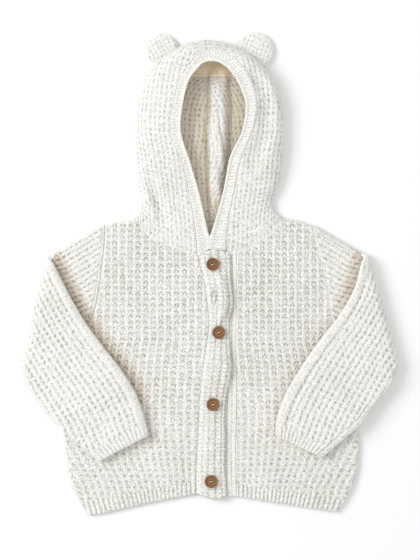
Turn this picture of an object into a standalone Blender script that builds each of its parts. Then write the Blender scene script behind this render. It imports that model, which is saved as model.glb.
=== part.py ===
"""A baby's hooded cardigan in chunky cotton knit, laid flat on its back.

The garment lies in the XY plane: +Y runs up to the hood, +X is the viewer's
right and +Z is up from the surface it lies on.  "Right" and "left" in the
names are the wearer's, so the wearer's right side is at -X.

Every piece of cloth is a wall of its own.  Tables below give each piece's
outline and its folds in millimetres; the functions under them draw smooth
curves through the rows, lay a coarse plain inside and a finer outside with
the knitted ribs raised in it, and close the two into one solid.
"""

import math

import bmesh
import bpy
import numpy as np
from mathutils import Euler, Vector

# ---------------------------------------------------------------- sizes, mm
MM = 0.001
WALL = 2.6            # knitted wall, measured in the furrows between ribs
GAP = 0.3             # clearance between two layers of cloth
SEAM = 0.2            # each piece stops this far short of a seam line
RIB = 0.9             # height of a knitted rib above its furrow
EDGE_RADIUS = 4.2     # how far in from the edge the cloth rounds over
EDGE_LIP = 0.6        # thickness left where a rounded edge meets the surface
HEM_RIB = 14.0        # depth of the ribbed hem
TURN_HEIGHT = 8.2     # height of the axis a sleeve is folded about
BAND_THICK = 3.8      # the face band is knitted double
BAND_RIBS = 144       # ribs round the face band, 3 mm apart
BUTTON_RADIUS = 7.0
SHIFT_X, SHIFT_Y = -0.232, -0.148   # brings the garment's middle over the origin

IVORY = (0.86, 0.85, 0.80)
WOOD = (0.36, 0.18, 0.07)

# Outlines, as (x, y) rows in mm.  Hems and shoulders run from the side to
# the centre, sides and armholes from the bottom up.
HEM_R = ((-134.0, -265.5), (-120.0, -263.5), (-70.0, -252.5), (-15.1, -241.8))
SIDE_R = ((-134.0, -265.5), (-147.0, -243.5), (-154.0, -229.0), (-157.0, -208.0),
          (-161.2, -171.5), (-158.0, -133.0), (-150.0, -100.0), (-140.2, -70.3))
ARMHOLE_R = ((-140.2, -70.3), (-128.5, -46.0), (-122.0, -20.0), (-118.5, 8.0),
             (-115.5, 33.0), (-115.0, 54.0))
SHOULDER_R = ((-115.0, 54.0), (-98.5, 57.9), (-87.5, 59.5), (-79.8, 60.6))
NECK_R = ((-79.8, 60.6), (-74.2, 50.7), (-65.5, 41.9), (-54.5, 36.4),
          (-38.0, 29.9), (-24.5, 25.1), (-12.7, 19.3))
BAND_SEAM_R = ((-15.1, -241.8), (-15.1, -217.7), (-12.3, -162.7), (-8.7, -108.8),
               (-3.2, -75.8), (-0.6, -53.8), (-3.0, -30.0), (-6.1, -8.1),
               (-12.7, 19.3))

HEM_L = ((141.4, -262.0), (100.0, -256.0), (60.0, -249.5), (30.3, -244.8))
SIDE_L = ((141.4, -262.0), (154.6, -241.9), (162.2, -221.0), (165.0, -193.5),
          (165.0, -166.0), (160.1, -133.0), (151.2, -100.0), (141.4, -72.5))
ARMHOLE_L = ((141.4, -72.5), (134.5, -45.0), (130.8, -15.0), (124.5, 10.0),
             (118.3, 32.0), (115.0, 53.0))
SHOULDER_L = ((115.0, 53.0), (99.6, 58.6), (89.3, 60.4), (79.5, 61.5))
NECK_L = ((79.5, 61.5), (74.2, 52.9), (66.6, 45.2), (57.8, 37.0),
          (44.6, 30.0), (30.3, 26.4), (18.2, 25.8))
BAND_SEAM_L = ((30.3, -244.8), (29.4, -193.5), (30.3, -138.5), (29.4, -83.5),
               (30.3, -28.5), (30.3, 26.4))

# The button bands: the wearer's right one lies on top and bows between its
# buttons, so its free edge wanders.
TOP_BAND_FREE = ((20.0, -241.0), (17.8, -218.0), (17.8, -181.4), (17.8, -145.1),
                 (19.6, -131.9), (25.1, -104.4), (23.2, -81.3), (22.3, -50.5),
                 (26.3, -35.1), (24.2, -8.1), (23.6, 19.5))
TOP_BAND_END = ((-14.7, -241.6), (-6.0, -243.5), (2.0, -246.6), (14.9, -246.6),
                (20.0, -241.0))
TOP_BAND_TOP = ((-12.3, 18.9), (-5.0, 22.6), (1.0, 26.0), (12.0, 25.4),
                (18.0, 24.8), (23.6, 20.5))
UNDER_BAND_TOP = ((-3.7, 22.3), (0.0, 24.6), (18.2, 24.9), (30.1, 25.6))
UNDER_BAND_SETBACK = 9.0      # its covered edge lies this far inside the upper seam
BAND_STEP = 7.5               # the upper band climbs over it in this distance
BAND_BOW = 1.3                # and stands up by this much between its buttons
BAND_RIB = 1.3                # height of its upright ribs
STEP_CLEAR = 0.15             # what its coarser inside needs on top of the gap

# The back: where its neck edge runs, under the hood.
BACK_NECK = ((-83.5, 56.0), (-78.0, 48.5), (-71.0, 49.5), (-65.0, 59.3), (-30.0, 58.3),
             (0.0, 57.3), (30.0, 58.4), (65.0, 59.8), (71.0, 50.5), (78.0, 49.5),
             (83.5, 56.5))
BACK_INSET = WALL + GAP       # the fronts wrap round the back's edge

# The hood, a row for each section from the neck up to the crown.  "edge" is
# where the face band is sewn on, "rim" the band's inner edge, "out" the
# outline, "spine" the seam down the back of the head, "rise" the height of
# the sewn edge, "round" how far in from the outline the cloth is still
# curving, "side" the height of the outline, "bow" the share of the neckline's
# curve that the section keeps, "fold" and "crest" the height of the crease in
# the back cloth and its distance from the spine.
HOOD_COLUMNS = ("edge_x", "edge_y", "rim_x", "rim_y", "out_x", "out_y", "spine_x",
                "spine_y", "rise", "round", "side", "bow", "fold", "crest")
HOOD_R = (
    (-12.7, 19.3, -0.7, 27.6, -79.8, 60.6, -0.6, 58.0, 6.6, 5.0, 3.1, 1.0, 0.3, 20.0),
    (-14.6, 38.0, -0.8, 41.0, -76.0, 70.5, -1.2, 66.0, 8.5, 8.0, 3.6, 0.5, 0.8, 20.0),
    (-17.0, 60.0, -5.0, 62.0, -75.2, 83.5, -2.2, 79.0, 11.5, 15.0, 4.4, 0.1, 1.5, 22.0),
    (-22.5, 89.0, -11.8, 91.0, -78.1, 106.0, -3.3, 98.0, 15.0, 22.0, 5.2, 0.0, 2.5, 24.0),
    (-29.8, 122.2, -20.9, 122.2, -80.6, 131.0, -2.8, 125.5, 19.0, 28.0, 5.8, 0.0, 3.5, 26.0),
    (-42.4, 155.0, -31.0, 156.0, -80.5, 160.7, -3.4, 156.3, 22.0, 30.0, 6.0, 0.0, 4.0, 28.0),
    (-39.1, 187.1, -28.6, 187.1, -78.1, 190.4, -1.8, 182.7, 24.5, 30.0, 6.0, 0.0, 3.0, 26.0),
    (-31.4, 213.5, -22.0, 211.5, -69.9, 215.7, -2.4, 204.7, 26.0, 26.0, 6.0, 0.0, 2.0, 22.0),
    (-18.9, 232.2, -13.0, 223.6, -52.3, 237.7, -3.0, 217.9, 27.0, 20.0, 6.0, 0.0, 1.0, 18.0),
    (-10.5, 240.2, -7.0, 229.4, -28.1, 251.5, -2.8, 221.5, 27.5, 14.0, 6.0, 0.0, 0.5, 14.0),
    (-1.7, 243.2, 0.1, 231.6, -3.9, 257.5, -2.8, 224.5, 27.5, 13.0, 6.0, 0.0, 0.3, 12.0),
)
HOOD_L = (
    (18.2, 25.8, 0.3, 27.6, 79.5, 61.5, -0.6, 58.0, 6.6, 5.0, 3.1, 1.0, 0.3, 6.0),
    (19.8, 43.0, 1.2, 42.0, 70.5, 69.5, -1.2, 66.0, 8.5, 8.0, 3.6, 0.5, 1.5, 8.0),
    (21.8, 63.0, 6.9, 61.5, 68.5, 80.0, -2.2, 79.0, 11.5, 15.0, 4.4, 0.1, 4.0, 10.0),
    (28.1, 93.6, 15.4, 92.5, 75.5, 98.0, -3.3, 98.0, 15.5, 20.0, 5.2, 0.0, 7.5, 14.0),
    (34.9, 126.6, 22.3, 127.7, 80.9, 126.5, -2.8, 125.5, 20.0, 24.0, 5.8, 0.0, 10.0, 22.0),
    (47.5, 157.5, 35.6, 156.5, 81.4, 158.5, -3.4, 156.3, 24.0, 24.0, 6.0, 0.0, 10.0, 25.0),
    (51.7, 187.1, 39.0, 185.2, 78.7, 187.1, -1.8, 182.7, 27.0, 22.0, 6.0, 0.0, 9.0, 25.0),
    (42.4, 216.8, 29.8, 210.2, 67.3, 216.5, -2.4, 204.7, 28.5, 20.0, 6.0, 0.0, 6.0, 23.0),
    (25.7, 237.0, 17.6, 225.6, 42.5, 242.0, -3.0, 217.9, 28.5, 14.0, 6.0, 0.0, 3.0, 18.0),
    (12.7, 242.4, 9.2, 230.5, 19.2, 252.8, -2.8, 221.5, 28.0, 12.0, 6.0, 0.0, 0.8, 14.0),
    (-1.7, 243.2, 0.1, 231.6, -3.9, 257.5, -2.8, 224.5, 27.5, 13.0, 6.0, 0.0, 0.3, 12.0),
)
HOOD_STATIONS = 22

# The sleeves.  Each runs out from its armhole, folds over along a slanting
# line and lies back across the front.  "over" is the edge that continues
# the shoulder, "under" the edge with the underarm seam.
# Columns: over_x, over_y, under_x, under_y, thick.
FOREARM_R = (
    (-158.0, -16.5, -198.0, -122.0, 7.0),
    (-139.0, -50.0, -190.0, -134.5, 7.2),
    (-117.5, -80.0, -178.0, -151.0, 7.4),
    (-97.0, -106.0, -164.0, -169.0, 7.2),
    (-80.0, -135.0, -146.0, -184.5, 7.0),
    (-71.5, -161.5, -131.5, -197.0, 6.6),
    (-67.7, -177.0, -121.0, -205.6, 6.2),
)
FOREARM_L = (
    (160.0, -15.0, 199.0, -120.0, 7.0),
    (143.1, -45.5, 190.5, -132.0, 7.2),
    (122.0, -72.5, 179.0, -146.0, 7.4),
    (101.0, -103.0, 166.0, -164.5, 7.2),
    (84.0, -132.0, 148.0, -180.0, 7.0),
    (74.5, -160.0, 134.0, -192.0, 6.6),
    (73.2, -177.0, 123.0, -201.2, 6.2),
)
ELBOW_R = ((-178.8, 18.8), (-206.9, -101.9))    # outermost line of the fold
ELBOW_L = ((174.0, 21.0), (207.5, -99.0))
ARMHOLE_THICK = 5.8
UPPER_THICK = 7.0
ELBOW_SLIP = 5.5      # the fold's two sides slide this far along it
SLEEVE_RIBS = 23      # points across one side of a sleeve, every second one a rib

# Ears: centre and radius of each knitted disc.  It is sewn to the hood where
# its circle meets the hood's outline.
EAR_R = (-53.0, 247.6, 17.3)
EAR_L = (50.8, 246.0, 19.8)
EAR_COUNT = 13                # points along an ear's root and along its rim

# Buttons: centre, and the tilt about X and Y in degrees.
BUTTONS = ((3.2, 10.9, 14.0, 10.0), (9.9, -64.2, -4.0, 6.0),
           (3.9, -142.9, 3.0, -3.0), (1.7, -227.6, -3.0, 4.0))


# ------------------------------------------------------------ curves
def knots_of(rows):
    """Places of a table's rows along its curve, from 0 to 1."""
    steps = np.linalg.norm(np.diff(rows[:, :2], axis=0), axis=1)
    return np.concatenate([[0.0], np.cumsum(steps)]) / steps.sum()


def smooth(rows, at):
    """Points on the smooth curve through a table's rows, at 0 to 1."""
    rows = np.asarray(rows, float)
    at = np.clip(np.asarray(at, float), 0.0, 1.0)
    knots = knots_of(rows)
    slopes = np.gradient(rows, knots, axis=0)
    low = np.clip(np.searchsorted(knots, at, side="right") - 1, 0, len(rows) - 2)
    span = (knots[low + 1] - knots[low])[..., None]
    u = (at - knots[low])[..., None] / span
    return (rows[low] * (2 * u**3 - 3 * u**2 + 1) + slopes[low] * span * (u**3 - 2 * u**2 + u)
            + rows[low + 1] * (3 * u**2 - 2 * u**3) + slopes[low + 1] * span * (u**3 - u**2))


def straight(rows, at):
    """Points on the line of straight runs through a table's rows, at 0 to 1."""
    rows = np.asarray(rows, float)
    knots = knots_of(rows)
    return np.stack([np.interp(at, knots, rows[:, k]) for k in range(rows.shape[1])], axis=-1)


def length_of(rows):
    return np.linalg.norm(np.diff(np.asarray(rows, float)[:, :2], axis=0), axis=1).sum()


def end_to_end(first, second, share):
    """One curve from 0 to 1 made of two, the first one up to `share`."""
    def curve(at):
        at = np.asarray(at, float)
        low = first(np.clip(at / share, 0.0, 1.0))
        high = second(np.clip((at - share) / (1.0 - share), 0.0, 1.0))
        return np.where((at <= share)[..., None], low, high)
    return curve


def moved_in(curve, distance, side):
    """The same curve, moved sideways: side +1 is to its left, -1 to its right."""
    def shifted(at):
        at = np.asarray(at, float)
        step = 1e-3
        ahead = curve(np.clip(at + step, 0.0, 1.0)) - curve(np.clip(at - step, 0.0, 1.0))
        ahead /= np.linalg.norm(ahead, axis=-1, keepdims=True)
        left = np.stack([-ahead[..., 1], ahead[..., 0]], axis=-1)
        return curve(at) + left * distance * side
    return shifted


def patch(bottom, top, near, far, s, t):
    """A plan area spanned by four edge curves (s across, t up)."""
    zero, one = np.zeros(1), np.ones(1)
    s1, t1 = s[..., None], t[..., None]
    corners = ((1 - s1) * (1 - t1) * bottom(zero)[0] + s1 * (1 - t1) * bottom(one)[0]
               + (1 - s1) * t1 * top(zero)[0] + s1 * t1 * top(one)[0])
    return (1 - t1) * bottom(s) + t1 * top(s) + (1 - s1) * near(t) + s1 * far(t) - corners


def rounded(distance, radius):
    """Share of the full height at a distance in from a rounded edge."""
    return np.sqrt(1.0 - (1.0 - np.clip(distance / radius, 0.0, 1.0)) ** 2)


def hump(value):
    """A soft bump over 0 to 1, nothing at both ends."""
    return np.sin(np.pi * np.clip(value, 0.0, 1.0)) ** 2


# ------------------------------------------------------------ closed walls
def zipper(first, first_at, second, second_at):
    """Triangles between two rows of points that are spaced differently."""
    faces, i, j = [], 0, 0
    while i < len(first) - 1 or j < len(second) - 1:
        second_done = j == len(second) - 1
        if second_done or (i < len(first) - 1 and first_at[i + 1] <= second_at[j + 1]):
            faces.append((first[i], first[i + 1], second[j]))
            i += 1
        else:
            faces.append((first[i], second[j + 1], second[j]))
            j += 1
    return faces


def grid_faces(index):
    """Quads over a grid of point numbers."""
    return [(index[i, j], index[i, j + 1], index[i + 1, j + 1], index[i + 1, j])
            for i in range(index.shape[0] - 1) for j in range(index.shape[1] - 1)]


def make_solid(name, points, faces, finish):
    """A closed mesh object from points in mm, with its faces turned outwards."""
    mesh = bpy.data.meshes.new(name)
    mesh.from_pydata((np.asarray(points) * MM).tolist(), [],
                     [[int(corner) for corner in face] for face in faces])
    shape = bmesh.new()
    shape.from_mesh(mesh)
    bmesh.ops.recalc_face_normals(shape, faces=shape.faces)
    shape.to_mesh(mesh)
    shape.free()
    piece = bpy.data.objects.new(name, mesh)
    mesh.materials.append(finish)
    garment.objects.link(piece)
    piece.parent = middle
    return piece


def wall_from(name, outside, inside, marks, finish):
    """A wall between two grids.  marks = (across, along) for outside and inside."""
    (out_s, out_t), (in_s, in_t) = marks
    out_index = np.arange(outside.shape[0] * outside.shape[1]).reshape(outside.shape[:2])
    in_index = (np.arange(inside.shape[0] * inside.shape[1]).reshape(inside.shape[:2])
                + out_index.size)
    faces = grid_faces(out_index) + grid_faces(in_index)
    for row in (0, -1):
        faces += zipper(out_index[row], out_s, in_index[row], in_s)
        faces += zipper(out_index[:, row], out_t, in_index[:, row], in_t)
    points = np.concatenate([outside.reshape(-1, 3), inside.reshape(-1, 3)])
    return make_solid(name, points, faces, finish)


def tube_from(name, outside, inside, marks, finish):
    """A tube between two stacks of closed rings, open at both ends."""
    out_s, in_s = marks
    out_index = np.arange(outside.shape[0] * outside.shape[1]).reshape(outside.shape[:2])
    in_index = (np.arange(inside.shape[0] * inside.shape[1]).reshape(inside.shape[:2])
                + out_index.size)
    out_index = np.concatenate([out_index, out_index[:, :1]], axis=1)
    in_index = np.concatenate([in_index, in_index[:, :1]], axis=1)
    faces = grid_faces(out_index) + grid_faces(in_index)
    for row in (0, -1):
        faces += zipper(out_index[row], out_s, in_index[row], in_s)
    points = np.concatenate([outside.reshape(-1, 3), inside.reshape(-1, 3)])
    return make_solid(name, points, faces, finish)


def with_height(plan, height):
    return np.concatenate([plan, np.broadcast_to(height, plan.shape[:-1])[..., None]], axis=-1)


# ------------------------------------------------------------ body
BACK_TOP = WALL
FRONT_INSIDE = BACK_TOP + GAP


def neck_up_to(neck, corner):
    """Where along the neckline a front ends: at the row nearest its corner."""
    neck = np.asarray(neck)
    return knots_of(neck)[np.argmin(np.linalg.norm(neck - np.asarray(corner), axis=1))]


def body_edges(hem, side, armhole, shoulder, neck, centre, turn):
    """The four edge curves of a front, and where its corners fall on them."""
    side_share = length_of(side) / (length_of(side) + length_of(armhole))
    neck_stretch = neck_up_to(neck, centre[-1])
    neck_length = length_of(neck) * neck_stretch
    shoulder_share = length_of(shoulder) / (length_of(shoulder) + neck_length)
    armhole_line = moved_in(lambda at: straight(armhole, at), SEAM, -turn)
    neck_line = moved_in(lambda at: smooth(neck, at * neck_stretch), SEAM, -turn)
    near = end_to_end(lambda at: smooth(side, at), armhole_line, side_share)
    top = end_to_end(lambda at: smooth(shoulder, at), neck_line, shoulder_share)
    far = moved_in(lambda at: smooth(centre, at), SEAM, turn)
    bottom = (lambda at: smooth(hem, at))
    return bottom, top, near, far, side_share, shoulder_share


def front_puff(s, t):
    """How far the front's middle stands off the back."""
    return 1.1 * hump(s) * hump(t) + 0.7 * hump(s) * hump((t - 0.02) / 0.2)


def front(name, tables, turn, finish):
    """One front: rounded over at the side and shoulder, cut at the seams."""
    bottom, top, near, far, side_share, shoulder_share = body_edges(*tables, turn)
    armhole = tables[2]
    height = 300.0
    up_side = np.linspace(0.0, side_share, 8)[1:]
    up_armhole = side_share + (1.0 - side_share) * knots_of(np.asarray(armhole))[1:]
    hem_rows = np.array([0.0, 1.5, HEM_RIB, HEM_RIB + 3.0]) / height
    curl_rows = 1.0 - np.array([2.4, 0.8]) / height
    t = np.unique(np.concatenate([hem_rows, up_side, up_armhole, curl_rows]).round(6))
    inner_t = np.unique(np.concatenate([
        hem_rows[:1], up_side, up_armhole[:-1],
        [1.0 - (WALL + 0.05) / height, 1.0 - WALL / height, 1.0]]).round(6))

    shoulder_columns, neck_columns = 17, 34

    def columns(up, curl):
        """Distances across for each row: the curl first, then even columns."""
        width = np.linalg.norm(far(up) - near(up), axis=1)
        first = curl[-1] / width
        corner = (shoulder_share - first[-1]) / (1.0 - first[-1])
        even = np.concatenate([np.linspace(0.0, corner, shoulder_columns),
                               np.linspace(corner, 1.0, neck_columns)[1:]])
        rest = first[:, None] + (1.0 - first[:, None]) * even[None, 1:]
        return np.concatenate([np.asarray(curl)[None, :] / width[:, None], rest], axis=1), width

    s, width = columns(t, [0.0, 0.8, 2.4, 4.6])
    rows = np.broadcast_to(t[:, None], s.shape)
    plan = patch(bottom, top, near, far, s, rows)
    from_side = s * width[:, None]
    from_top = (1.0 - rows) * height
    side_round = np.where(rows <= side_share, rounded(from_side, EDGE_RADIUS), 1.0)
    top_round = np.where(s <= shoulder_share, rounded(from_top, EDGE_RADIUS), 1.0)
    hem_round = 0.72 + 0.28 * rounded(rows * height, 3.0)
    column = np.arange(s.shape[1])
    ribbed = (rows * height > 1.0) & (rows * height < HEM_RIB + 0.5)
    rib = np.where(ribbed, column % 2 == 0, (column % 3 == 0) * 0.8) * RIB
    rib = rib * (from_side > 3.0) * (from_top > 1.5) * (rows > 0.0)
    full = FRONT_INSIDE + WALL + front_puff(s, rows)
    outside_z = EDGE_LIP + (full - EDGE_LIP) * np.minimum(side_round, top_round) * hem_round + rib
    outside = with_height(plan, outside_z)

    inner_columns = [0.0, WALL, WALL + 0.05]
    inner_width = np.linalg.norm(far(inner_t) - near(inner_t), axis=1)
    inner_first = inner_columns[-1] / inner_width
    corner = (shoulder_share - inner_first[-1]) / (1.0 - inner_first[-1])
    even = np.concatenate([np.linspace(0.0, corner, 4), np.linspace(corner, 1.0, 9)[1:]])
    inner_s = np.concatenate([np.asarray(inner_columns)[None, :] / inner_width[:, None],
                              inner_first[:, None] + (1 - inner_first[:, None]) * even[1:]], axis=1)
    inner_rows = np.broadcast_to(inner_t[:, None], inner_s.shape)
    inner_plan = patch(bottom, top, near, far, inner_s, inner_rows)
    in_column = np.broadcast_to(np.arange(inner_s.shape[1]), inner_s.shape)
    below_armhole = inner_rows <= side_share + 1e-6
    on_shoulder = inner_s <= shoulder_share + 1e-6
    at_top = np.broadcast_to((np.arange(len(inner_t)) >= len(inner_t) - 2)[:, None], inner_s.shape)
    on_floor = (below_armhole & (in_column < 2)) | (on_shoulder & at_top)
    inside_z = np.where(on_floor, 0.0, FRONT_INSIDE + front_puff(inner_s, inner_rows))
    inside = with_height(inner_plan, inside_z)

    last, last_in = s.mean(axis=0), inner_s.mean(axis=0)
    return wall_from(name, outside, inside, ((last, t), (last_in, inner_t)), finish)


def through(places, points):
    """Straight runs through points that have their own places from 0 to 1."""
    points = np.asarray(points)
    return lambda at: np.stack([np.interp(at, places, points[:, k]) for k in (0, 1)], axis=-1)


def back_side(side, armhole, turn, rows_up, places):
    """The back's edge: inside the front's wrap, then along the armhole seam."""
    inset = moved_in(lambda at: smooth(side, at), BACK_INSET, -turn)
    hidden = moved_in(lambda at: straight(armhole, at), BACK_INSET, -turn)
    seam = moved_in(lambda at: straight(armhole, at), SEAM, -turn)
    knots = knots_of(np.asarray(armhole))
    up = np.concatenate([inset(rows_up), hidden(knots[1:2]), seam(knots[2:])])
    up[-1, 1] -= BACK_INSET + GAP
    return through(places, up)


def back(finish):
    """The back: one flat wall, as wide as the fronts allow."""
    rows_up = np.linspace(0.0, 1.0, 8)
    places = np.linspace(0.0, 1.0, 13)
    near = back_side(SIDE_R, ARMHOLE_R, 1, rows_up, places)
    far = back_side(SIDE_L, ARMHOLE_L, -1, rows_up, places)
    tips = [near(np.ones(1))[0], far(np.ones(1))[0]]
    middle_of_shoulders = [np.array([-98.5, 54.4]), np.array([99.6, 55.2])]
    top_points = np.array([tips[0], middle_of_shoulders[0], *BACK_NECK,
                           middle_of_shoulders[1], tips[1]])
    s = knots_of(top_points)
    top = through(s, top_points)
    hem_points = np.concatenate([np.asarray(HEM_R)[1:], np.asarray(HEM_L)[:0:-1]])
    corners = [near(np.zeros(1)), far(np.zeros(1))]
    hem_points = np.concatenate([corners[0], hem_points[:-1] + [0.0, 1.0], corners[1]])
    bottom = lambda at: smooth(hem_points, at)
    grid_s, grid_t = np.broadcast_arrays(s[None, :], places[:, None])
    plan = patch(bottom, top, near, far, grid_s.copy(), grid_t.copy())
    return wall_from("back_panel", with_height(plan, BACK_TOP), with_height(plan, 0.0),
                     ((s, places), (s, places)), finish)


# ------------------------------------------------------------ button bands
def band_lift(y):
    """The upper band stands up a little between its buttons."""
    ys = [button[1] for button in BUTTONS]
    lift = np.zeros_like(y)
    for high, low in zip(ys[:-1], ys[1:]):
        lift += BAND_BOW * hump((y - low) / (high - low))
    return lift


def top_band(finish):
    """The buttonhole band: five upright ribs, over the edge of the under band."""
    seam = moved_in(lambda at: smooth(BAND_SEAM_R, at), SEAM, -1)
    free = lambda at: smooth(TOP_BAND_FREE, at)
    bottom = lambda at: smooth(TOP_BAND_END, at)
    top = lambda at: smooth(TOP_BAND_TOP, at)

    def laid(s, t):
        s, t = (grid.copy() for grid in np.broadcast_arrays(s[None, :], t[:, None]))
        plan = patch(bottom, top, seam, free, s, t)
        width = np.linalg.norm(free(t[:, 0]) - seam(t[:, 0]), axis=1)[:, None]
        climb = np.clip((s * width - 0.5) / BAND_STEP, 0.0, 1.0)
        step = (WALL + GAP + STEP_CLEAR) * climb * climb * (3.0 - 2.0 * climb)
        return plan, FRONT_INSIDE + step + band_lift(plan[..., 1]) * climb

    s = np.linspace(0.0, 1.0, 11)
    t = np.linspace(0.0, 1.0, 25)
    plan, low = laid(s, t)
    ends = np.minimum(rounded((1.0 - s) * 30.0 + 0.6, 3.0)[None, :],
                      rounded(np.minimum(t, 1.0 - t) * 260.0 + 1.0, 3.0)[:, None])
    rib = BAND_RIB * (np.arange(len(s)) % 2)
    outside = with_height(plan, low + WALL * ends + rib * ends)
    s_in, t_in = np.array([0.0, 0.12, 0.28, 0.6, 1.0]), np.linspace(0.0, 1.0, 17)
    plan_in, low_in = laid(s_in, t_in)
    inside = with_height(plan_in, low_in)
    return wall_from("band_right", outside, inside, ((s, t), (s_in, t_in)), finish)


def under_band(finish):
    """The button band: flat between the back and the upper band."""
    t = np.linspace(0.0, 1.0, 17)
    covered = moved_in(lambda at: smooth(BAND_SEAM_R, at), UNDER_BAND_SETBACK, -1)(t)
    covered[0, 1] += 0.6
    covered[-1] = UNDER_BAND_TOP[0]
    seam = moved_in(lambda at: smooth(BAND_SEAM_L, at), SEAM, 1)(t)
    seam[-1] = UNDER_BAND_TOP[-1]
    bottom = lambda at: straight(np.stack([covered[0], seam[0]]), at)
    top = lambda at: straight(UNDER_BAND_TOP, at)
    near, far = through(t, covered), through(t, seam)
    s = np.array([0.0, 0.2, 0.45, 0.75, 0.89, 0.94, 1.0])
    grid_s, grid_t = (grid.copy() for grid in np.broadcast_arrays(s[None, :], t[:, None]))
    plan = patch(bottom, top, near, far, grid_s, grid_t)
    rib = 0.8 * (s == 0.94)
    thick = WALL * rounded(s * 30.0 + 0.6, 2.5) + rib
    outside = with_height(plan, FRONT_INSIDE + thick[None, :])
    inside = with_height(plan[:, ::3], FRONT_INSIDE)
    return wall_from("band_left", outside, inside, ((s, t), (s[::3], t)), finish)


# ------------------------------------------------------------ sleeves
def sleeve_stations(armhole, elbow, forearm, turn):
    """Rings along the sleeve: two edge points, thickness, turn, armhole share."""
    elbow = np.asarray(elbow)
    down = (elbow[1] - elbow[0]) / np.linalg.norm(elbow[1] - elbow[0])
    outward = np.array([down[1], -down[0]]) * turn
    base = elbow - outward * TURN_HEIGHT
    slip = ELBOW_SLIP
    seam = moved_in(lambda at: straight(armhole, at), SEAM, turn)
    tip, pit = seam(np.ones(1))[0], seam(np.zeros(1))[0]
    rows = []
    for share, keep in ((0.0, 1.0), (0.3, 0.6), (0.65, 0.2), (1.0, 0.0)):
        over = tip + (base[0] - down * slip - tip) * share
        under = pit + (base[1] - down * slip - pit) * share
        thick = ARMHOLE_THICK + (UPPER_THICK - ARMHOLE_THICK) * share
        rows.append((over, under, thick, 0.0, keep))
    for angle in (36.0, 72.0, 108.0, 144.0, 180.0):
        along = slip * (angle / 90.0 - 1.0)
        rows.append((base[0] + down * along, base[1] + down * along, UPPER_THICK, angle, 0.0))
    first = [*(base[0] + down * slip), *(base[1] + down * slip), UPPER_THICK]
    table = np.array([first, *forearm])
    knots = knots_of(table)
    for at in (*np.linspace(0.0, knots[-2], 7)[1:], 1.0):
        row = smooth(table, np.array([at]))[0]
        rows.append((row[0:2], row[2:4], row[4], 180.0, 0.0))
    return rows, outward, seam


def sleeve(name, armhole, elbow, forearm, turn, finish):
    """A flattened tube of cloth, folded back on itself at the elbow."""
    rows, outward, seam = sleeve_stations(armhole, elbow, forearm, turn)
    chord = lambda at: straight(np.stack([seam(np.zeros(1))[0], seam(np.ones(1))[0]]), at)

    def place(row, across, up):
        """Points of one ring from their share across and their height in the tube."""
        over, under, _, angle, keep = row
        plan = over + (under - over) * across[:, None]
        plan = plan + keep * (seam(1.0 - across) - chord(1.0 - across))
        angle = math.radians(angle)
        reach = TURN_HEIGHT - up
        plan = plan + outward * (reach * math.sin(angle))[:, None]
        return with_height(plan, TURN_HEIGHT - reach * math.cos(angle))

    inner_cuts = 1.0 - knots_of(np.asarray(armhole))[-2:0:-1]
    outside, inside = [], []
    for row in rows:
        over, under, thick, angle, _ = row
        width = np.linalg.norm(under - over)
        even = np.linspace(EDGE_RADIUS, width - EDGE_RADIUS, SLEEVE_RIBS)
        across = np.concatenate([[1.2], even, [width - 1.2]])
        to_edge = np.minimum(across, width - across)
        half = 0.5 * thick * rounded(to_edge, EDGE_RADIUS)
        rib = RIB * np.concatenate([[0.0], (np.arange(SLEEVE_RIBS) % 2 == 0) * 1.0, [0.0]])
        turned = math.radians(angle)
        upper = 0.5 * thick + half + rib * (1.0 - math.sin(turned))
        lower = 0.5 * thick - half - rib * min(angle / 72.0, 1.0)
        share = across / width
        ring_s = np.concatenate([[0.0], share, [1.0], share[::-1]])
        ring_up = np.concatenate([[0.5 * thick], upper, [0.5 * thick], lower[::-1]])
        outside.append(place(row, ring_s, ring_up))
        gap = 0.5 * thick - WALL
        end = (WALL + 0.6) / width
        ring_s = np.concatenate([[end], inner_cuts, [1.0 - end], inner_cuts[::-1]])
        ring_up = 0.5 * thick + gap * np.concatenate([[0.0], np.ones(4), [0.0], -np.ones(4)])
        inside.append(place(row, ring_s, ring_up))
    out_marks = np.concatenate([[0.0], share / 2.0, [0.5], 1.0 - share[::-1] / 2.0, [1.0]])
    in_marks = np.concatenate([[0.0], inner_cuts / 2.0, [0.5], 1.0 - inner_cuts[::-1] / 2.0, [1.0]])
    return tube_from(name, np.array(outside), np.array(inside), (out_marks, in_marks), finish)


# ------------------------------------------------------------ hood
def hood_at(table, at):
    """The hood table's columns at places from neck, 0, to crown, 1."""
    values = smooth(table, at)
    return {column: values[..., k] for k, column in enumerate(HOOD_COLUMNS)}


def pair(row, name):
    return np.stack([row[name + "_x"], row[name + "_y"]], axis=-1)


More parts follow.
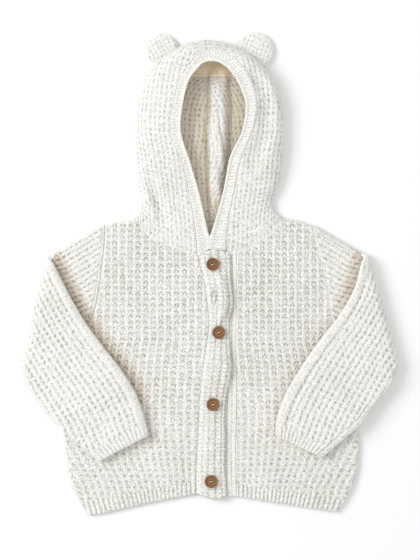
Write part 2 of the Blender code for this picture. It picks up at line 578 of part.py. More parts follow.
def hood_section(row, neck, turn, top_steps, floor_steps, station, last):
    """One section: over from the face edge, down at the outline, back to the spine."""
    edge, out, spine = pair(row, "edge"), pair(row, "out"), pair(row, "spine")
    steps = top_steps[:, None]
    straight_run = edge + (out - edge) * steps
    neck_run = moved_in(lambda at: smooth(neck, at), SEAM, turn)(1.0 - top_steps)
    neck_chord = neck_run[0] + (neck_run[-1] - neck_run[0]) * steps
    top = straight_run + row["bow"] * (neck_run - neck_chord)
    if station == 0:
        top = neck_run
    along = np.gradient(top, axis=0)
    along /= np.linalg.norm(along, axis=1, keepdims=True)
    top = top + along[:1] * SEAM * (1.0 - steps)
    from_out = (1.0 - top_steps) * np.linalg.norm(out - edge)
    top_z = row["side"] + (row["rise"] - row["side"]) * rounded(from_out, row["round"])

    inward = (spine - out) / np.linalg.norm(spine - out)
    radius = row["side"] * 0.9
    curl = np.radians([45.0, 90.0])
    curl_plan = out + inward * (radius * (1.0 - np.cos(curl)))[:, None]
    curl_z = row["side"] * (1.0 - np.sin(curl))
    start = out + inward * radius
    end = spine - inward * SEAM * 1.5
    floor = start + (end - start) * floor_steps[:, None]
    from_spine = np.linalg.norm(floor - spine, axis=1)
    spread = 0.36 * row["crest"] + 2.0
    floor_z = row["fold"] * np.exp(-((from_spine - row["crest"]) / spread) ** 2)
    floor_z = floor_z * (1.0 - np.exp(-(from_spine / 3.0) ** 2)) * (1 - np.exp(-(floor_steps / 0.15) ** 2))

    plan = np.concatenate([top, curl_plan, floor])
    height = np.concatenate([top_z, curl_z, floor_z])
    travel = np.concatenate([[0.0], np.cumsum(np.linalg.norm(np.diff(top, axis=0), axis=1))])
    ground = travel[-1] - np.concatenate([radius * (1.0 - np.cos(curl)),
                                          radius + np.linalg.norm(floor - start, axis=1)])
    ground = np.concatenate([travel, ground])
    slope_out, slope_up = np.gradient(ground), np.gradient(height)
    size = np.hypot(slope_out, slope_up)
    outward = np.concatenate([along, np.broadcast_to(-inward, (len(height) - len(top), 2))])
    mixed = along[-1] - inward
    outward[len(top) - 1] = mixed / np.linalg.norm(mixed)
    normal = np.concatenate([outward * (-slope_up / size)[:, None],
                             (slope_out / size)[:, None]], axis=1)
    level = np.clip(from_spine / 9.0, 0.0, 1.0)[:, None]
    normal[-len(floor):, :2] *= level
    skin = with_height(plan, height)
    if station == last:
        skin[:, 0] -= turn * SEAM
        normal[:, 0] = 0.0
    return skin, normal


def hood_half(name, table, neck, turn, finish):
    """Half of the hood, from the face band round to the seam down the back."""
    top_steps = np.array([0.0, 0.06, 0.12, 0.18, 0.25, 0.38, 0.5, 0.62, 0.73, 0.83, 0.91,
                          0.97, 1.0])
    floor_steps = np.array([0.0, 0.2, 0.4, 0.52, 0.6, 0.66, 0.72, 0.78, 0.84, 0.92, 1.0])[1:]
    stations = np.linspace(0.0, 1.0, HOOD_STATIONS + 1)
    skins, normals = [], []
    for station, at in enumerate(stations):
        row = {key: value[0] for key, value in hood_at(table, np.array([at])).items()}
        skin, normal = hood_section(row, neck, turn, top_steps, floor_steps, station,
                                    HOOD_STATIONS)
        skins.append(skin)
        normals.append(normal)
    outside = np.array(skins)
    inside = outside - np.array(normals) * WALL
    keep = np.array([0, 3, 5, 7, 9, 10, 11, 12, 13, 14, 16, 18, 20, 22, 24])
    across = np.linspace(0.0, 1.0, outside.shape[1])
    inside = inside[:, keep]
    marks = ((across, stations), (across[keep], stations))
    return wall_from(name, outside, inside, marks, finish)


def face_band(finish):
    """The ribbed band round the face: thick, with its ribs across it."""
    def ring_points(table, at, share, lift):
        row = hood_at(table, at)
        edge, rim = pair(row, "edge"), pair(row, "rim")
        toward = (rim - edge) / np.linalg.norm(rim - edge, axis=-1, keepdims=True)
        plan = edge + toward * SEAM + (rim - edge - toward * SEAM) * share
        return with_height(plan, row["rise"] + lift)

    def both_ways(at, share, lift):
        right = ring_points(HOOD_R, at, share, lift)
        left = ring_points(HOOD_L, at, share, lift)
        return np.concatenate([right, left[-2::-1]])

    coarse = np.linspace(0.0, 1.0, HOOD_STATIONS + 1)
    marks_coarse = np.linspace(0.0, 1.0, 2 * HOOD_STATIONS + 1)
    fine = np.linspace(0.0, 1.0, BAND_RIBS + 1)
    marks_fine = np.linspace(0.0, 1.0, 2 * BAND_RIBS + 1)
    wave = RIB * 0.8 * (np.arange(2 * BAND_RIBS + 1) % 2)
    outer_row = both_ways(fine, 0.2, 0.1)
    outer_row[:, 2] += wave
    inner_row = both_ways(fine, 0.75, 0.5)
    inner_row[:, 2] += wave
    rows = [both_ways(coarse, 0.0, -0.8), outer_row, inner_row,
            both_ways(coarse, 1.0, -0.4), both_ways(coarse, 0.97, 0.4 - BAND_THICK),
            both_ways(coarse, 0.03, 0.2 - BAND_THICK)]
    marks = [marks_coarse, marks_fine, marks_fine, marks_coarse, marks_coarse, marks_coarse]
    numbers, points, start = [], [], 0
    for row in rows:
        numbers.append(np.arange(start, start + len(row)))
        points.append(row)
        start += len(row)
    faces = []
    for k in range(len(rows)):
        after = (k + 1) % len(rows)
        if len(rows[k]) == len(rows[after]):
            faces += grid_faces(np.stack([numbers[k], numbers[after]]))
        else:
            faces += zipper(numbers[k], marks[k], numbers[after], marks[after])
    faces.append([row[0] for row in numbers])
    faces.append([row[-1] for row in numbers][::-1])
    return make_solid("hood_band", np.concatenate(points), faces, finish)


def ear(name, circle, table, turn, finish):
    """A round double-knit ear, sewn to the hood where its circle crosses the outline."""
    centre, radius = np.array(circle[:2]), circle[2]
    at = np.linspace(0.0, 1.0, 2001)
    outline = pair(hood_at(table, at), "out")
    within = at[np.linalg.norm(outline - centre, axis=1) < radius]
    root_at = np.linspace(within[0], within[-1], EAR_COUNT)
    root = moved_in(lambda place: pair(hood_at(table, place), "out"), 2.0 * SEAM, turn)(root_at)
    lean = np.arctan2(root[:, 1] - centre[1], root[:, 0] - centre[0])
    first, last = lean[0], lean[-1]
    sweep = (first - last) % (2.0 * math.pi) if turn > 0 else (last - first) % (2.0 * math.pi)
    step_in = 0.14
    angles = first - turn * np.linspace(step_in, sweep - step_in, len(root))
    arc = centre + radius * np.stack([np.cos(angles), np.sin(angles)], axis=-1)
    rows = np.linspace(0.0, 1.0, 6)
    plan = root[None, :] + (arc - root)[None, :] * rows[:, None, None]
    column = np.arange(EAR_COUNT)
    sides = rounded(np.minimum(column, column[::-1]) * 2.2 + 0.3, 4.0)
    swell = np.sqrt(1.0 - rows ** 3)[:, None] * sides[None, :]
    marks = (np.linspace(0.0, 1.0, EAR_COUNT), rows)
    top = with_height(plan, 3.7 + 3.6 * swell)
    bottom = with_height(plan, 3.1 - 2.6 * swell)
    return wall_from(name, top, bottom, (marks, marks), finish)


# ------------------------------------------------------------ buttons
BUTTON_SEAT = FRONT_INSIDE + WALL + GAP + STEP_CLEAR + WALL + BAND_RIB + GAP


def button(name, row, finish):
    """A turned two-hole button with a raised rim, sewn on the upper band."""
    x, y, tilt_x, tilt_y = row
    profile = ((0.0, 1.9), (4.3, 1.9), (5.2, 2.9), (6.2, 3.0), (7.0, 2.2),
               (7.0, 0.9), (5.9, 0.0), (0.0, 0.0))
    mesh = bpy.data.meshes.new(name)
    mesh.from_pydata([(r * MM, 0.0, z * MM) for r, z in profile],
                     [(k, k + 1) for k in range(len(profile) - 1)], [])
    piece = bpy.data.objects.new(name, mesh)
    mesh.materials.append(finish)
    garment.objects.link(piece)
    turned = piece.modifiers.new("turned", "SCREW")
    turned.steps = turned.render_steps = 18
    turned.use_merge_vertices = True
    turned.merge_threshold = 0.00001
    turned.use_normal_calculate = True
    for side in (-1.0, 1.0):
        bpy.ops.mesh.primitive_cylinder_add(vertices=8, radius=0.95 * MM, depth=8.0 * MM,
                                            location=(1.7 * MM * side, 0.0, 1.5 * MM))
        drill = bpy.context.object
        drill.name = name + ("_drill_1" if side < 0 else "_drill_2")
        drill.hide_render = True
        drill.display_type = "WIRE"
        for owner in list(drill.users_collection):
            owner.objects.unlink(drill)
        cutters.objects.link(drill)
        drill.parent = piece
        hole = piece.modifiers.new("hole", "BOOLEAN")
        hole.object = drill
        hole.operation = "DIFFERENCE"
    lean = max(abs(tilt_x), abs(tilt_y))
    height = BUTTON_SEAT + BUTTON_RADIUS * math.sin(math.radians(lean)) * 1.05
    piece.location = Vector((x * MM, y * MM, height * MM))
    piece.rotation_euler = Euler((math.radians(tilt_x), math.radians(tilt_y), 0.4))
    piece.parent = middle
    return piece


# ------------------------------------------------------------ finishes
def finish_of(name, colour, rough):
    """A plain Principled material."""
    made = bpy.data.materials.new(name)
    made.use_nodes = True
    shader = made.node_tree.nodes["Principled BSDF"]
    shader.inputs["Base Color"].default_value = (*colour, 1.0)
    shader.inputs["Roughness"].default_value = rough
    shader.inputs["Metallic"].default_value = 0.0
    return made


# ------------------------------------------------------------ assembly
for old in list(bpy.data.objects):
    bpy.data.objects.remove(old, do_unlink=True)

garment = bpy.data.collections.new("hoodie")
cutters = bpy.data.collections.new("cutters")
bpy.context.scene.collection.children.link(garment)
bpy.context.scene.collection.children.link(cutters)
middle = bpy.data.objects.new("garment_middle", None)
middle.location = (SHIFT_X * MM, SHIFT_Y * MM, 0.0)
garment.objects.link(middle)

knit = finish_of("ivory_knit", IVORY, 0.9)
rib_knit = finish_of("ivory_rib", IVORY, 0.9)
wood = finish_of("brown_wood", WOOD, 0.45)

back(knit)
front("front_right", (HEM_R, SIDE_R, ARMHOLE_R, SHOULDER_R, NECK_R, BAND_SEAM_R), 1, knit)
front("front_left", (HEM_L, SIDE_L, ARMHOLE_L, SHOULDER_L, NECK_L, BAND_SEAM_L), -1, knit)
under_band(rib_knit)
top_band(rib_knit)
sleeve("sleeve_right", ARMHOLE_R, ELBOW_R, FOREARM_R, 1, knit)
sleeve("sleeve_left", ARMHOLE_L, ELBOW_L, FOREARM_L, -1, knit)
hood_half("hood_right", HOOD_R, NECK_R, 1, knit)
hood_half("hood_left", HOOD_L, NECK_L, -1, knit)
face_band(rib_knit)
ear("ear_right", EAR_R, HOOD_R, 1, knit)
ear("ear_left", EAR_L, HOOD_L, -1, knit)
for number, row in enumerate(BUTTONS, start=1):
    button(f"button_{number}", row, wood)
bpy.context.view_layer.update()
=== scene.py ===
# %% [markdown]
# # A knitted hooded cardigan for a baby, laid flat
# The real thing is knitted in thick cotton: a waffle stitch for the body, the
# sleeves and the hood, and plain ribs for the hem, the cuffs and the bands.
# At the size of a picture, what makes it look knitted is its relief: upright
# ridges, and between them rows of small pits with a nub of yarn in each.
# So every piece here is a closed shell of cloth with that relief in its mesh,
# and the materials add what is finer, the twist and fuzz of the yarn, with
# painted shade in the pits and hollows and a painted warm light in the hood.
#
# All sizes are in millimetres, and become metres when a mesh is made. Right
# and left are the wearer's, so the wearer's right is on the viewer's left.

# %% Start: load the fixed frame
import math

import bmesh
import bpy
import numpy as np
from mathutils import Euler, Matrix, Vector


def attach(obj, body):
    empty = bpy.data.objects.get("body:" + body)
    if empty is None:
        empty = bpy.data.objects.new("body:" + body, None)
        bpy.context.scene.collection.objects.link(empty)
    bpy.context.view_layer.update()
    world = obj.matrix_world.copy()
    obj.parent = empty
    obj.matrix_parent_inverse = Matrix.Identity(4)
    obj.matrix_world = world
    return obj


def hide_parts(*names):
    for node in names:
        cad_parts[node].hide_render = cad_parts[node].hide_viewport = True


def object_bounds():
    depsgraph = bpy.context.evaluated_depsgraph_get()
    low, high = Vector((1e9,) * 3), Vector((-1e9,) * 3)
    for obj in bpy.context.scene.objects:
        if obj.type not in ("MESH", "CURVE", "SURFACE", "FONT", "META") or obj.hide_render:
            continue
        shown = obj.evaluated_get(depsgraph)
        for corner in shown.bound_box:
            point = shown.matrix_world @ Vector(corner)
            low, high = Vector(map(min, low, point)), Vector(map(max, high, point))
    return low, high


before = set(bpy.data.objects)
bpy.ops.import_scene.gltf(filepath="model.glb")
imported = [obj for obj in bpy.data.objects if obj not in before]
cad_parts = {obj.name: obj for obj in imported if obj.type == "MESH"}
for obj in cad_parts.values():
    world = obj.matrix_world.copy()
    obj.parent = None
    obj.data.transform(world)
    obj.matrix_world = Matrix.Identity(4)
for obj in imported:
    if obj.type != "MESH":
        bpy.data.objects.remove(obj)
CAD_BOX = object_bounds()
MM = 0.001
sides = [round(side / MM, 1) for side in CAD_BOX[1] - CAD_BOX[0]]
print("frame:", len(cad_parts), "nodes,", sides, "mm")

# %% [markdown]
# ## Curves and areas
# A pattern cutter draws a few points and a smooth line through them. `smooth`
# does that for a table of rows, whatever the columns are, and `patch` spans
# the area between four such lines, which gives every point of a panel two
# coordinates: s across it and t up it.

# %% Curves through tables
SHIFT = np.array([-0.232, -0.148])     # brings the garment's middle over the origin


def knots_of(rows):
    steps = np.linalg.norm(np.diff(rows[:, :2], axis=0), axis=1)
    return np.concatenate([[0.0], np.cumsum(steps)]) / steps.sum()


def smooth(rows, at):
    """Points on the smooth curve through a table's rows, at 0 to 1."""
    rows = np.asarray(rows, float)
    at = np.clip(np.asarray(at, float), 0.0, 1.0)
    knots = knots_of(rows)
    slopes = np.gradient(rows, knots, axis=0)
    low = np.clip(np.searchsorted(knots, at, side="right") - 1, 0, len(rows) - 2)
    span = (knots[low + 1] - knots[low])[..., None]
    u = (at - knots[low])[..., None] / span
    return (rows[low] * (2 * u**3 - 3 * u**2 + 1) + slopes[low] * span * (u**3 - 2 * u**2 + u)
            + rows[low + 1] * (3 * u**2 - 2 * u**3) + slopes[low + 1] * span * (u**3 - u**2))


def curve_of(rows):
    return lambda at: smooth(rows, at)


def length_of(rows):
    return np.linalg.norm(np.diff(np.asarray(rows, float)[:, :2], axis=0), axis=1).sum()


# %% Joined and moved curves
def end_to_end(first, second, share):
    """One curve from 0 to 1 made of two, the first one up to `share`."""
    def curve(at):
        at = np.asarray(at, float)
        low = first(np.clip(at / share, 0.0, 1.0))
        high = second(np.clip((at - share) / (1.0 - share), 0.0, 1.0))
        return np.where((at <= share)[..., None], low, high)
    return curve


def moved_in(curve, distance, side):
    """The same curve, moved sideways: side +1 is to its left, -1 to its right."""
    def shifted(at):
        at = np.asarray(at, float)
        step = 2e-3
        ahead = curve(np.clip(at + step, 0.0, 1.0)) - curve(np.clip(at - step, 0.0, 1.0))
        ahead /= np.linalg.norm(ahead, axis=-1, keepdims=True)
        left = np.stack([-ahead[..., 1], ahead[..., 0]], axis=-1)
        return curve(at) + left * distance * side
    return shifted


def patch(bottom, top, near, far, s, t):
    """A plan area spanned by four edge curves (s across, t up)."""
    zero, one = np.zeros(1), np.ones(1)
    s1, t1 = s[..., None], t[..., None]
    corners = ((1 - s1) * (1 - t1) * bottom(zero)[0] + s1 * (1 - t1) * bottom(one)[0]
               + (1 - s1) * t1 * top(zero)[0] + s1 * t1 * top(one)[0])
    return (1 - t1) * bottom(s) + t1 * top(s) + (1 - s1) * near(t) + s1 * far(t) - corners


# %% Areas and soft steps
def with_z(plan, z):
    """Points of a plan, each with its height."""
    return np.concatenate([plan, np.broadcast_to(z, plan.shape[:-1])[..., None]], axis=-1)


def side_by_side(*grids):
    """Grids with the same rows, joined into one wider grid."""
    return np.concatenate(grids, axis=1)


def rounded(distance, radius):
    """Share of the full height at a distance in from a rounded edge."""
    return np.sqrt(1.0 - (1.0 - np.clip(distance / radius, 0.0, 1.0)) ** 2)


def ease(value, low, high):
    """A soft step from 0 at `low` to 1 at `high`."""
    share = np.clip((value - low) / (high - low), 0.0, 1.0)
    return share * share * (3.0 - 2.0 * share)


def hump(value):
    """A soft bump over 0 to 1, nothing at both ends."""
    return np.sin(np.pi * np.clip(value, 0.0, 1.0)) ** 2


def edge_steps(radius, count):
    """Distances in from a rounded edge, closer together where it curves."""
    return radius * (1.0 - np.cos(np.linspace(0.0, 0.5 * np.pi, count + 1)))


# %% [markdown]
# ## The stitches
# Waffle stitch is a grid. Knit stitches stand in upright ridges, and each cell
# between them holds a nub of yarn with a furrow arched over it. The sleeves,
# the hood and the ears have a finer stitch, a small eyelet in every cell. These
# functions give that height, from 0 in a pit to 1 on a ridge, for any place
# counted in cells: `u` counts ridges and `v` counts rows. Working in cells
# keeps the knitting's scale right wherever the cloth narrows or folds.
# Stitches are never quite alike, so `uneven` moves every one a little, and
# `chance` makes some pits deeper than others, the same on each run.

# %% Sizes and unevenness of the stitches
BODY_CELL = (8.0, 6.25)          # ridge spacing and row spacing of the body, mm
NUB_RADIUS = 1.8                 # the furrow runs round each nub at this distance
FURROW = 0.66                    # and is this wide
RANDOM = np.random.default_rng(11)


def uneven(u, v):
    """A small irregular number for each place, about -1 to 1, the same each run."""
    return (np.sin(1.7 * u + 0.6 * v + 2.0 * np.sin(0.53 * v))
            + np.sin(0.9 * u - 1.9 * v + 1.5 * np.sin(0.71 * u + 1.0))
            + np.sin(2.9 * u + 2.3 * v + 0.5)) / 3.0


def chance(u, v, kind=0.0):
    """A fixed random number from 0 to 1 for each cell."""
    spot = np.sin(np.floor(u) * 12.9898 + np.floor(v) * 78.233 + kind) * 43758.5453
    return spot - np.floor(spot)


print("body stitch:", BODY_CELL[0], "mm a ridge,", BODY_CELL[1], "mm a row")


# %% Waffle, eyelets and ribs
def waffle(u, v, radius=NUB_RADIUS):
    """Height of waffle stitch: upright ridges, and in each cell a nub under an arched furrow."""
    u = u + 0.07 * uneven(0.9 * u, 1.3 * v)
    v = v + 0.12 * uneven(1.1 * u + 9.0, 0.8 * v)
    depth = 0.50 + 0.50 * chance(u, v)
    across = (u - np.floor(u) - 0.5) * BODY_CELL[0] + 0.9 * (chance(u, v, 3.7) - 0.5)
    along = (v - np.floor(v) - 0.42) * BODY_CELL[1] + 1.0 * (chance(u, v, 8.1) - 0.5)
    round_nub = np.where(along > 0.0, np.hypot(across, along), np.abs(across))
    arch = np.exp(-((round_nub - radius) / FURROW) ** 2) * ease(along, -2.3, 0.1) * depth
    arch = arch * (1.0 + 0.25 * np.clip(across / NUB_RADIUS, -1.0, 1.0))     # deeper on one side
    low = 0.17 * ease(0.5 * BODY_CELL[0] - np.abs(across), 0.9, 2.2)
    off_ridge = np.abs(u - np.round(u))      # the ridge is a chain of small V stitches
    chevron = 0.17 * np.cos(2.0 * np.pi * (2.0 * v - 2.2 * off_ridge)) * ease(off_ridge, 0.36, 0.20)
    yarn = RANDOM.normal(0.0, 0.12, u.shape)
    return np.clip(0.89 - 0.80 * arch - low + chevron + yarn, 0.0, 1.0)


def eyelets(u, v, lean=0.25, size=(0.18, 0.28), furrow=0.10):
    """Height of the finer stitch: furrows between the ridges, with a small pit in every cell."""
    u = u + 0.06 * uneven(0.9 * u, 0.9 * v)
    v = v + 0.10 * uneven(0.8 * u + 5.0, 0.9 * v)
    depth = 0.45 + 0.55 * chance(u, v, 1.3)
    across = u - np.floor(u) - 0.5 + 0.10 * (chance(u, v, 5.9) - 0.5)
    along = v - np.floor(v) - 0.5 + 0.16 * (chance(u, v, 2.2) - 0.5)
    pit = np.exp(-((across + lean * along) / size[0]) ** 2 - (along / size[1]) ** 2)
    between = np.exp(-(across / 0.17) ** 2)
    yarn = RANDOM.normal(0.0, 0.10, u.shape)
    return np.clip(0.94 - furrow * between - 0.90 * pit * depth + yarn, 0.0, 1.0)


def ribs(u, v, notch=0.07):
    """Height of ribs: round cords with furrows between them, notched at each stitch."""
    across = np.abs(u - np.round(u)) * 2.0
    cord = np.sqrt(np.clip(1.0 - across**2.4, 0.0, 1.0))
    return cord * (1.0 - notch + notch * np.cos(2.0 * np.pi * (v - 0.4 * across)))


def relieved(base, normal, height, lowest):
    """The cloth's surface, moved out by the height of its knitting and kept off the floor."""
    outer = base + normal * height[..., None]
    outer[..., 2] = np.maximum(outer[..., 2], lowest)
    return outer


# %% [markdown]
# ## From a grid to a closed shell
# Each piece of cloth starts as Blender's own grid primitive with as many
# squares as the knitting needs. Its rows are then laid where the cloth goes:
# over the outside, round the edge and back along the inside. Merging the
# first and last columns closes it into a flat tube, and the open ends are
# filled. That leaves one watertight shell, thin where the real cloth is thin.
# The relief is also stored as an attribute, `pit`, so that the material can
# darken the pits with painted shade. A second one, `inside`, says where a warm
# painted shade goes: beside the forearms, deep in the hood and on inner faces;
# above 1 it blends into a painted warm light at the hood's crown. The UV map
# counts stitches, so that the yarn's twist follows the knitting and not the room.

# %% Closing and measuring a grid
def cap_ends(mesh, rows, columns, split):
    """Triangles across both open ends, between the outer and the inner run of columns."""
    shape = bmesh.new()
    shape.from_mesh(mesh)
    shape.verts.ensure_lookup_table()
    for first in (0, (rows - 1) * columns):
        runs = []
        for numbers in (range(split), range(columns - 2, split - 1, -1)):
            run = [shape.verts[first + number] for number in numbers]
            steps = [(b.co - a.co).length for a, b in zip(run, run[1:])]
            runs.append((run, np.concatenate([[0.0], np.cumsum(steps)]) / sum(steps)))
        (outer, outer_at), (inner, inner_at) = runs
        i = j = 0
        while i < len(outer) - 1 or j < len(inner) - 1:
            inner_done = j == len(inner) - 1
            if inner_done or (i < len(outer) - 1 and outer_at[i + 1] <= inner_at[j + 1]):
                shape.faces.new((outer[i], outer[i + 1], inner[j]))
                i += 1
            else:
                shape.faces.new((outer[i], inner[j + 1], inner[j]))
                j += 1
    shape.to_mesh(mesh)
    shape.free()


def normals_of(points, sign, ring=False):
    """Unit normals of a grid of points; in a ring the last column meets the first."""
    if ring:
        points = side_by_side(points[:, -1:], points, points[:, :1])
    down, along = np.gradient(points, axis=0), np.gradient(points, axis=1)
    normal = np.cross(along, down) * sign
    normal = normal / np.maximum(np.linalg.norm(normal, axis=2, keepdims=True), 1e-9)
    return normal[:, 1:-1] if ring else normal


def area_of(points, ring=False):
    """Area of a grid of points before its relief, which is the area of the cut, in mm2."""
    if ring:
        points = side_by_side(points, points[:, :1])
    one, two = points[1:, 1:] - points[:-1, :-1], points[1:, :-1] - points[:-1, 1:]
    return 0.5 * np.linalg.norm(np.cross(one, two), axis=2).sum()


# %% Laying a grid out as cloth
PIECES = []


def lay_cloth(node, points, cells, pit, finish, inner=None, split=0, closed_rows=False):
    """A closed shell whose columns run round the section, the outer `split` of them first."""
    pit = np.clip(pit + RANDOM.normal(0.0, 0.06, pit.shape), 0.0, 1.0)
    inner = np.zeros(pit.shape) if inner is None else inner
    points, pit, inner = (side_by_side(grid, grid[:, :1]) for grid in (points, pit, inner))
    cells = side_by_side(cells, cells[:, -1:] + (cells[:, -1:] - cells[:, -2:-1]))
    if closed_rows:
        points, pit, inner = (np.concatenate([grid, grid[:1]]) for grid in (points, pit, inner))
        cells = np.concatenate([cells, cells[-1:] + (cells[-1:] - cells[-2:-1])])
    rows, columns = points.shape[:2]
    bpy.ops.mesh.primitive_grid_add(x_subdivisions=columns - 1, y_subdivisions=rows - 1)
    piece = bpy.context.object
    piece.name = piece.data.name = node + "_cloth"
    mesh = piece.data
    placed = points.reshape(-1, 3).copy()
    placed[:, :2] += SHIFT
    mesh.vertices.foreach_set("co", (placed * MM).ravel())
    if split:
        cap_ends(mesh, rows, columns, split)
    corners = np.empty(len(mesh.loops), dtype=np.int32)
    mesh.loops.foreach_get("vertex_index", corners)
    mesh.uv_layers[0].name = "cells"
    mesh.uv_layers[0].data.foreach_set("uv", cells.reshape(-1, 2)[corners].ravel())
    # `pit` carries the painted shade of the pits, `inside` a warm painted shade, and above 1 a painted
    # warm light.
    for label, values in (("pit", pit), ("inside", inner)):
        mesh.attributes.new(label, "FLOAT", "POINT").data.foreach_set("value", values.ravel())
    bpy.ops.object.mode_set(mode="EDIT")
    bpy.ops.mesh.select_all(action="SELECT")
    bpy.ops.mesh.remove_doubles(threshold=1e-6)
    bpy.ops.mesh.normals_make_consistent(inside=False)
    bpy.ops.object.mode_set(mode="OBJECT")
    bpy.ops.object.location_clear()
    bpy.ops.object.shade_smooth()
    mesh.materials.append(finish)
    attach(piece, "root")
    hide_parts(node)
    PIECES.append(piece)
    print(piece.name, rows, "x", columns, "points")
    return piece


def declare(piece, flat, area):
    """Prints what size the piece was cut to, its width and length, and what share of that its own area
    fills.
    """
    print(piece.name, "fills", round(area / (flat[0] * flat[1]), 3), "of", flat)


# %% [markdown]
# ## Finishes
# Cotton yarn is matt and slightly fuzzy, and off-white. Its pits get a darker,
# warmer painted shade. One group, `yarn`, draws the plies: short slanting
# strands that meet in a V on every ridge, with a fine noise of loose fibres.
# Both knit finishes use it with their own values. The wood has its own grain.
# A few short helpers add nodes, so that a material reads like a recipe.

# %% Helpers for node trees
def node_of(tree, kind, **values):
    """A shader node and the values of its inputs, whose names have _ for a space here."""
    node = tree.nodes.new("ShaderNode" + kind)
    for name, value in values.items():
        node.inputs[name.replace("_", " ")].default_value = value
    return node


def feed(tree, socket, value):
    """Link a socket to another one, or set it to a plain value."""
    if isinstance(value, (int, float, tuple)):
        socket.default_value = value
    elif value is not None:
        tree.links.new(value, socket)


def maths(tree, kind, first, second=None):
    node = node_of(tree, "Math")
    node.operation = kind
    feed(tree, node.inputs[0], first)
    feed(tree, node.inputs[1], second)
    return node.outputs[0]


def mixed(tree, share, low, high):
    node = node_of(tree, "Mix")
    node.data_type = "RGBA"
    for number, value in ((0, share), (6, low), (7, high)):
        feed(tree, node.inputs[number], value)
    return node.outputs[2]


def noise(tree, place, **values):
    node = node_of(tree, "TexNoise", **values)
    feed(tree, node.inputs["Vector"], place)
    return node.outputs[0]


def new_finish(name):
    material = bpy.data.materials.new(name)
    material.use_nodes = True
    return material, material.node_tree, material.node_tree.nodes["Principled BSDF"]


def surface(tree, shader, colour, rough, rough_from, bump, bump_from):
    """Colour, roughness between two values, and bump (strength, and depth in mm)."""
    feed(tree, shader.inputs["Base Color"], colour)
    spread = node_of(tree, "MapRange", To_Min=rough[0], To_Max=rough[1])
    feed(tree, spread.inputs["Value"], rough_from)
    feed(tree, shader.inputs["Roughness"], spread.outputs[0])
    bumpy = node_of(tree, "Bump", Strength=bump[0], Distance=bump[1] * MM)
    feed(tree, bumpy.inputs["Height"], bump_from)
    feed(tree, shader.inputs["Normal"], bumpy.outputs[0])
    shader.inputs["Specular IOR Level"].default_value = 0.25


# %% Yarn, as a group that both knits share
def yarn_group():
    """Height and tint of twisted yarn, from stitch-counting UVs."""
    group = bpy.data.node_groups.new("yarn", "ShaderNodeTree")
    for way, label, kind in (("INPUT", "Cells", "Vector"), ("INPUT", "Place", "Vector"),
                             ("INPUT", "Plies", "Float"), ("INPUT", "Fuzz", "Float"),
                             ("OUTPUT", "Height", "Float"), ("OUTPUT", "Tint", "Float")):
        group.interface.new_socket(name=label, in_out=way, socket_type="NodeSocket" + kind)
    given, made = group.nodes.new("NodeGroupInput"), group.nodes.new("NodeGroupOutput")
    place = given.outputs["Place"]
    split = node_of(group, "SeparateXYZ")
    feed(group, split.inputs[0], given.outputs["Cells"])
    off_ridge = maths(group, "PINGPONG", split.outputs[0], 0.5)
    slant = maths(group, "MULTIPLY", off_ridge, 1.6)
    along = maths(group, "MULTIPLY", split.outputs[1], given.outputs["Plies"])
    turns = maths(group, "MULTIPLY", maths(group, "ADD", slant, along), 2.0 * math.pi)
    strand = maths(group, "MULTIPLY", maths(group, "SINE", turns), 0.3)
    fibres = noise(group, place, Scale=1300.0, Detail=3.0)
    fuzz = maths(group, "MULTIPLY", fibres, given.outputs["Fuzz"])
    feed(group, made.inputs["Height"], maths(group, "ADD", strand, fuzz))
    blotch = maths(group, "MULTIPLY", noise(group, place, Scale=26.0, Detail=4.0), 0.6)
    fleck = noise(group, place, Scale=680.0, Detail=2.0, Roughness=0.7)
    both = maths(group, "ADD", blotch, maths(group, "MULTIPLY", fleck, 4.2))
    feed(group, made.inputs["Tint"], maths(group, "SUBTRACT", both, 1.9))
    return group


YARN = yarn_group()
print("yarn group:", len(YARN.nodes), "nodes")


# %% Knit materials
RIDGE_COLOUR = (0.975, 0.973, 0.953, 1.0)
YARN_SHADE = (0.705, 0.699, 0.670, 1.0)
# Painted shade: the pits are darkened towards this colour.
PIT_SHADE_COLOUR = (0.395, 0.385, 0.352, 1.0)
# Warm painted shade where `inside` is 1, with darker pits.
INSIDE_SHADE_COLOUR = (0.760, 0.700, 0.600, 1.0)
INSIDE_PIT_SHADE = (0.270, 0.215, 0.150, 1.0)
# Painted warm light in the hood's crown.
CROWN_WARM_LIGHT = (0.990, 0.840, 0.620, 1.0)      # where `inside` goes on from 1 to 2


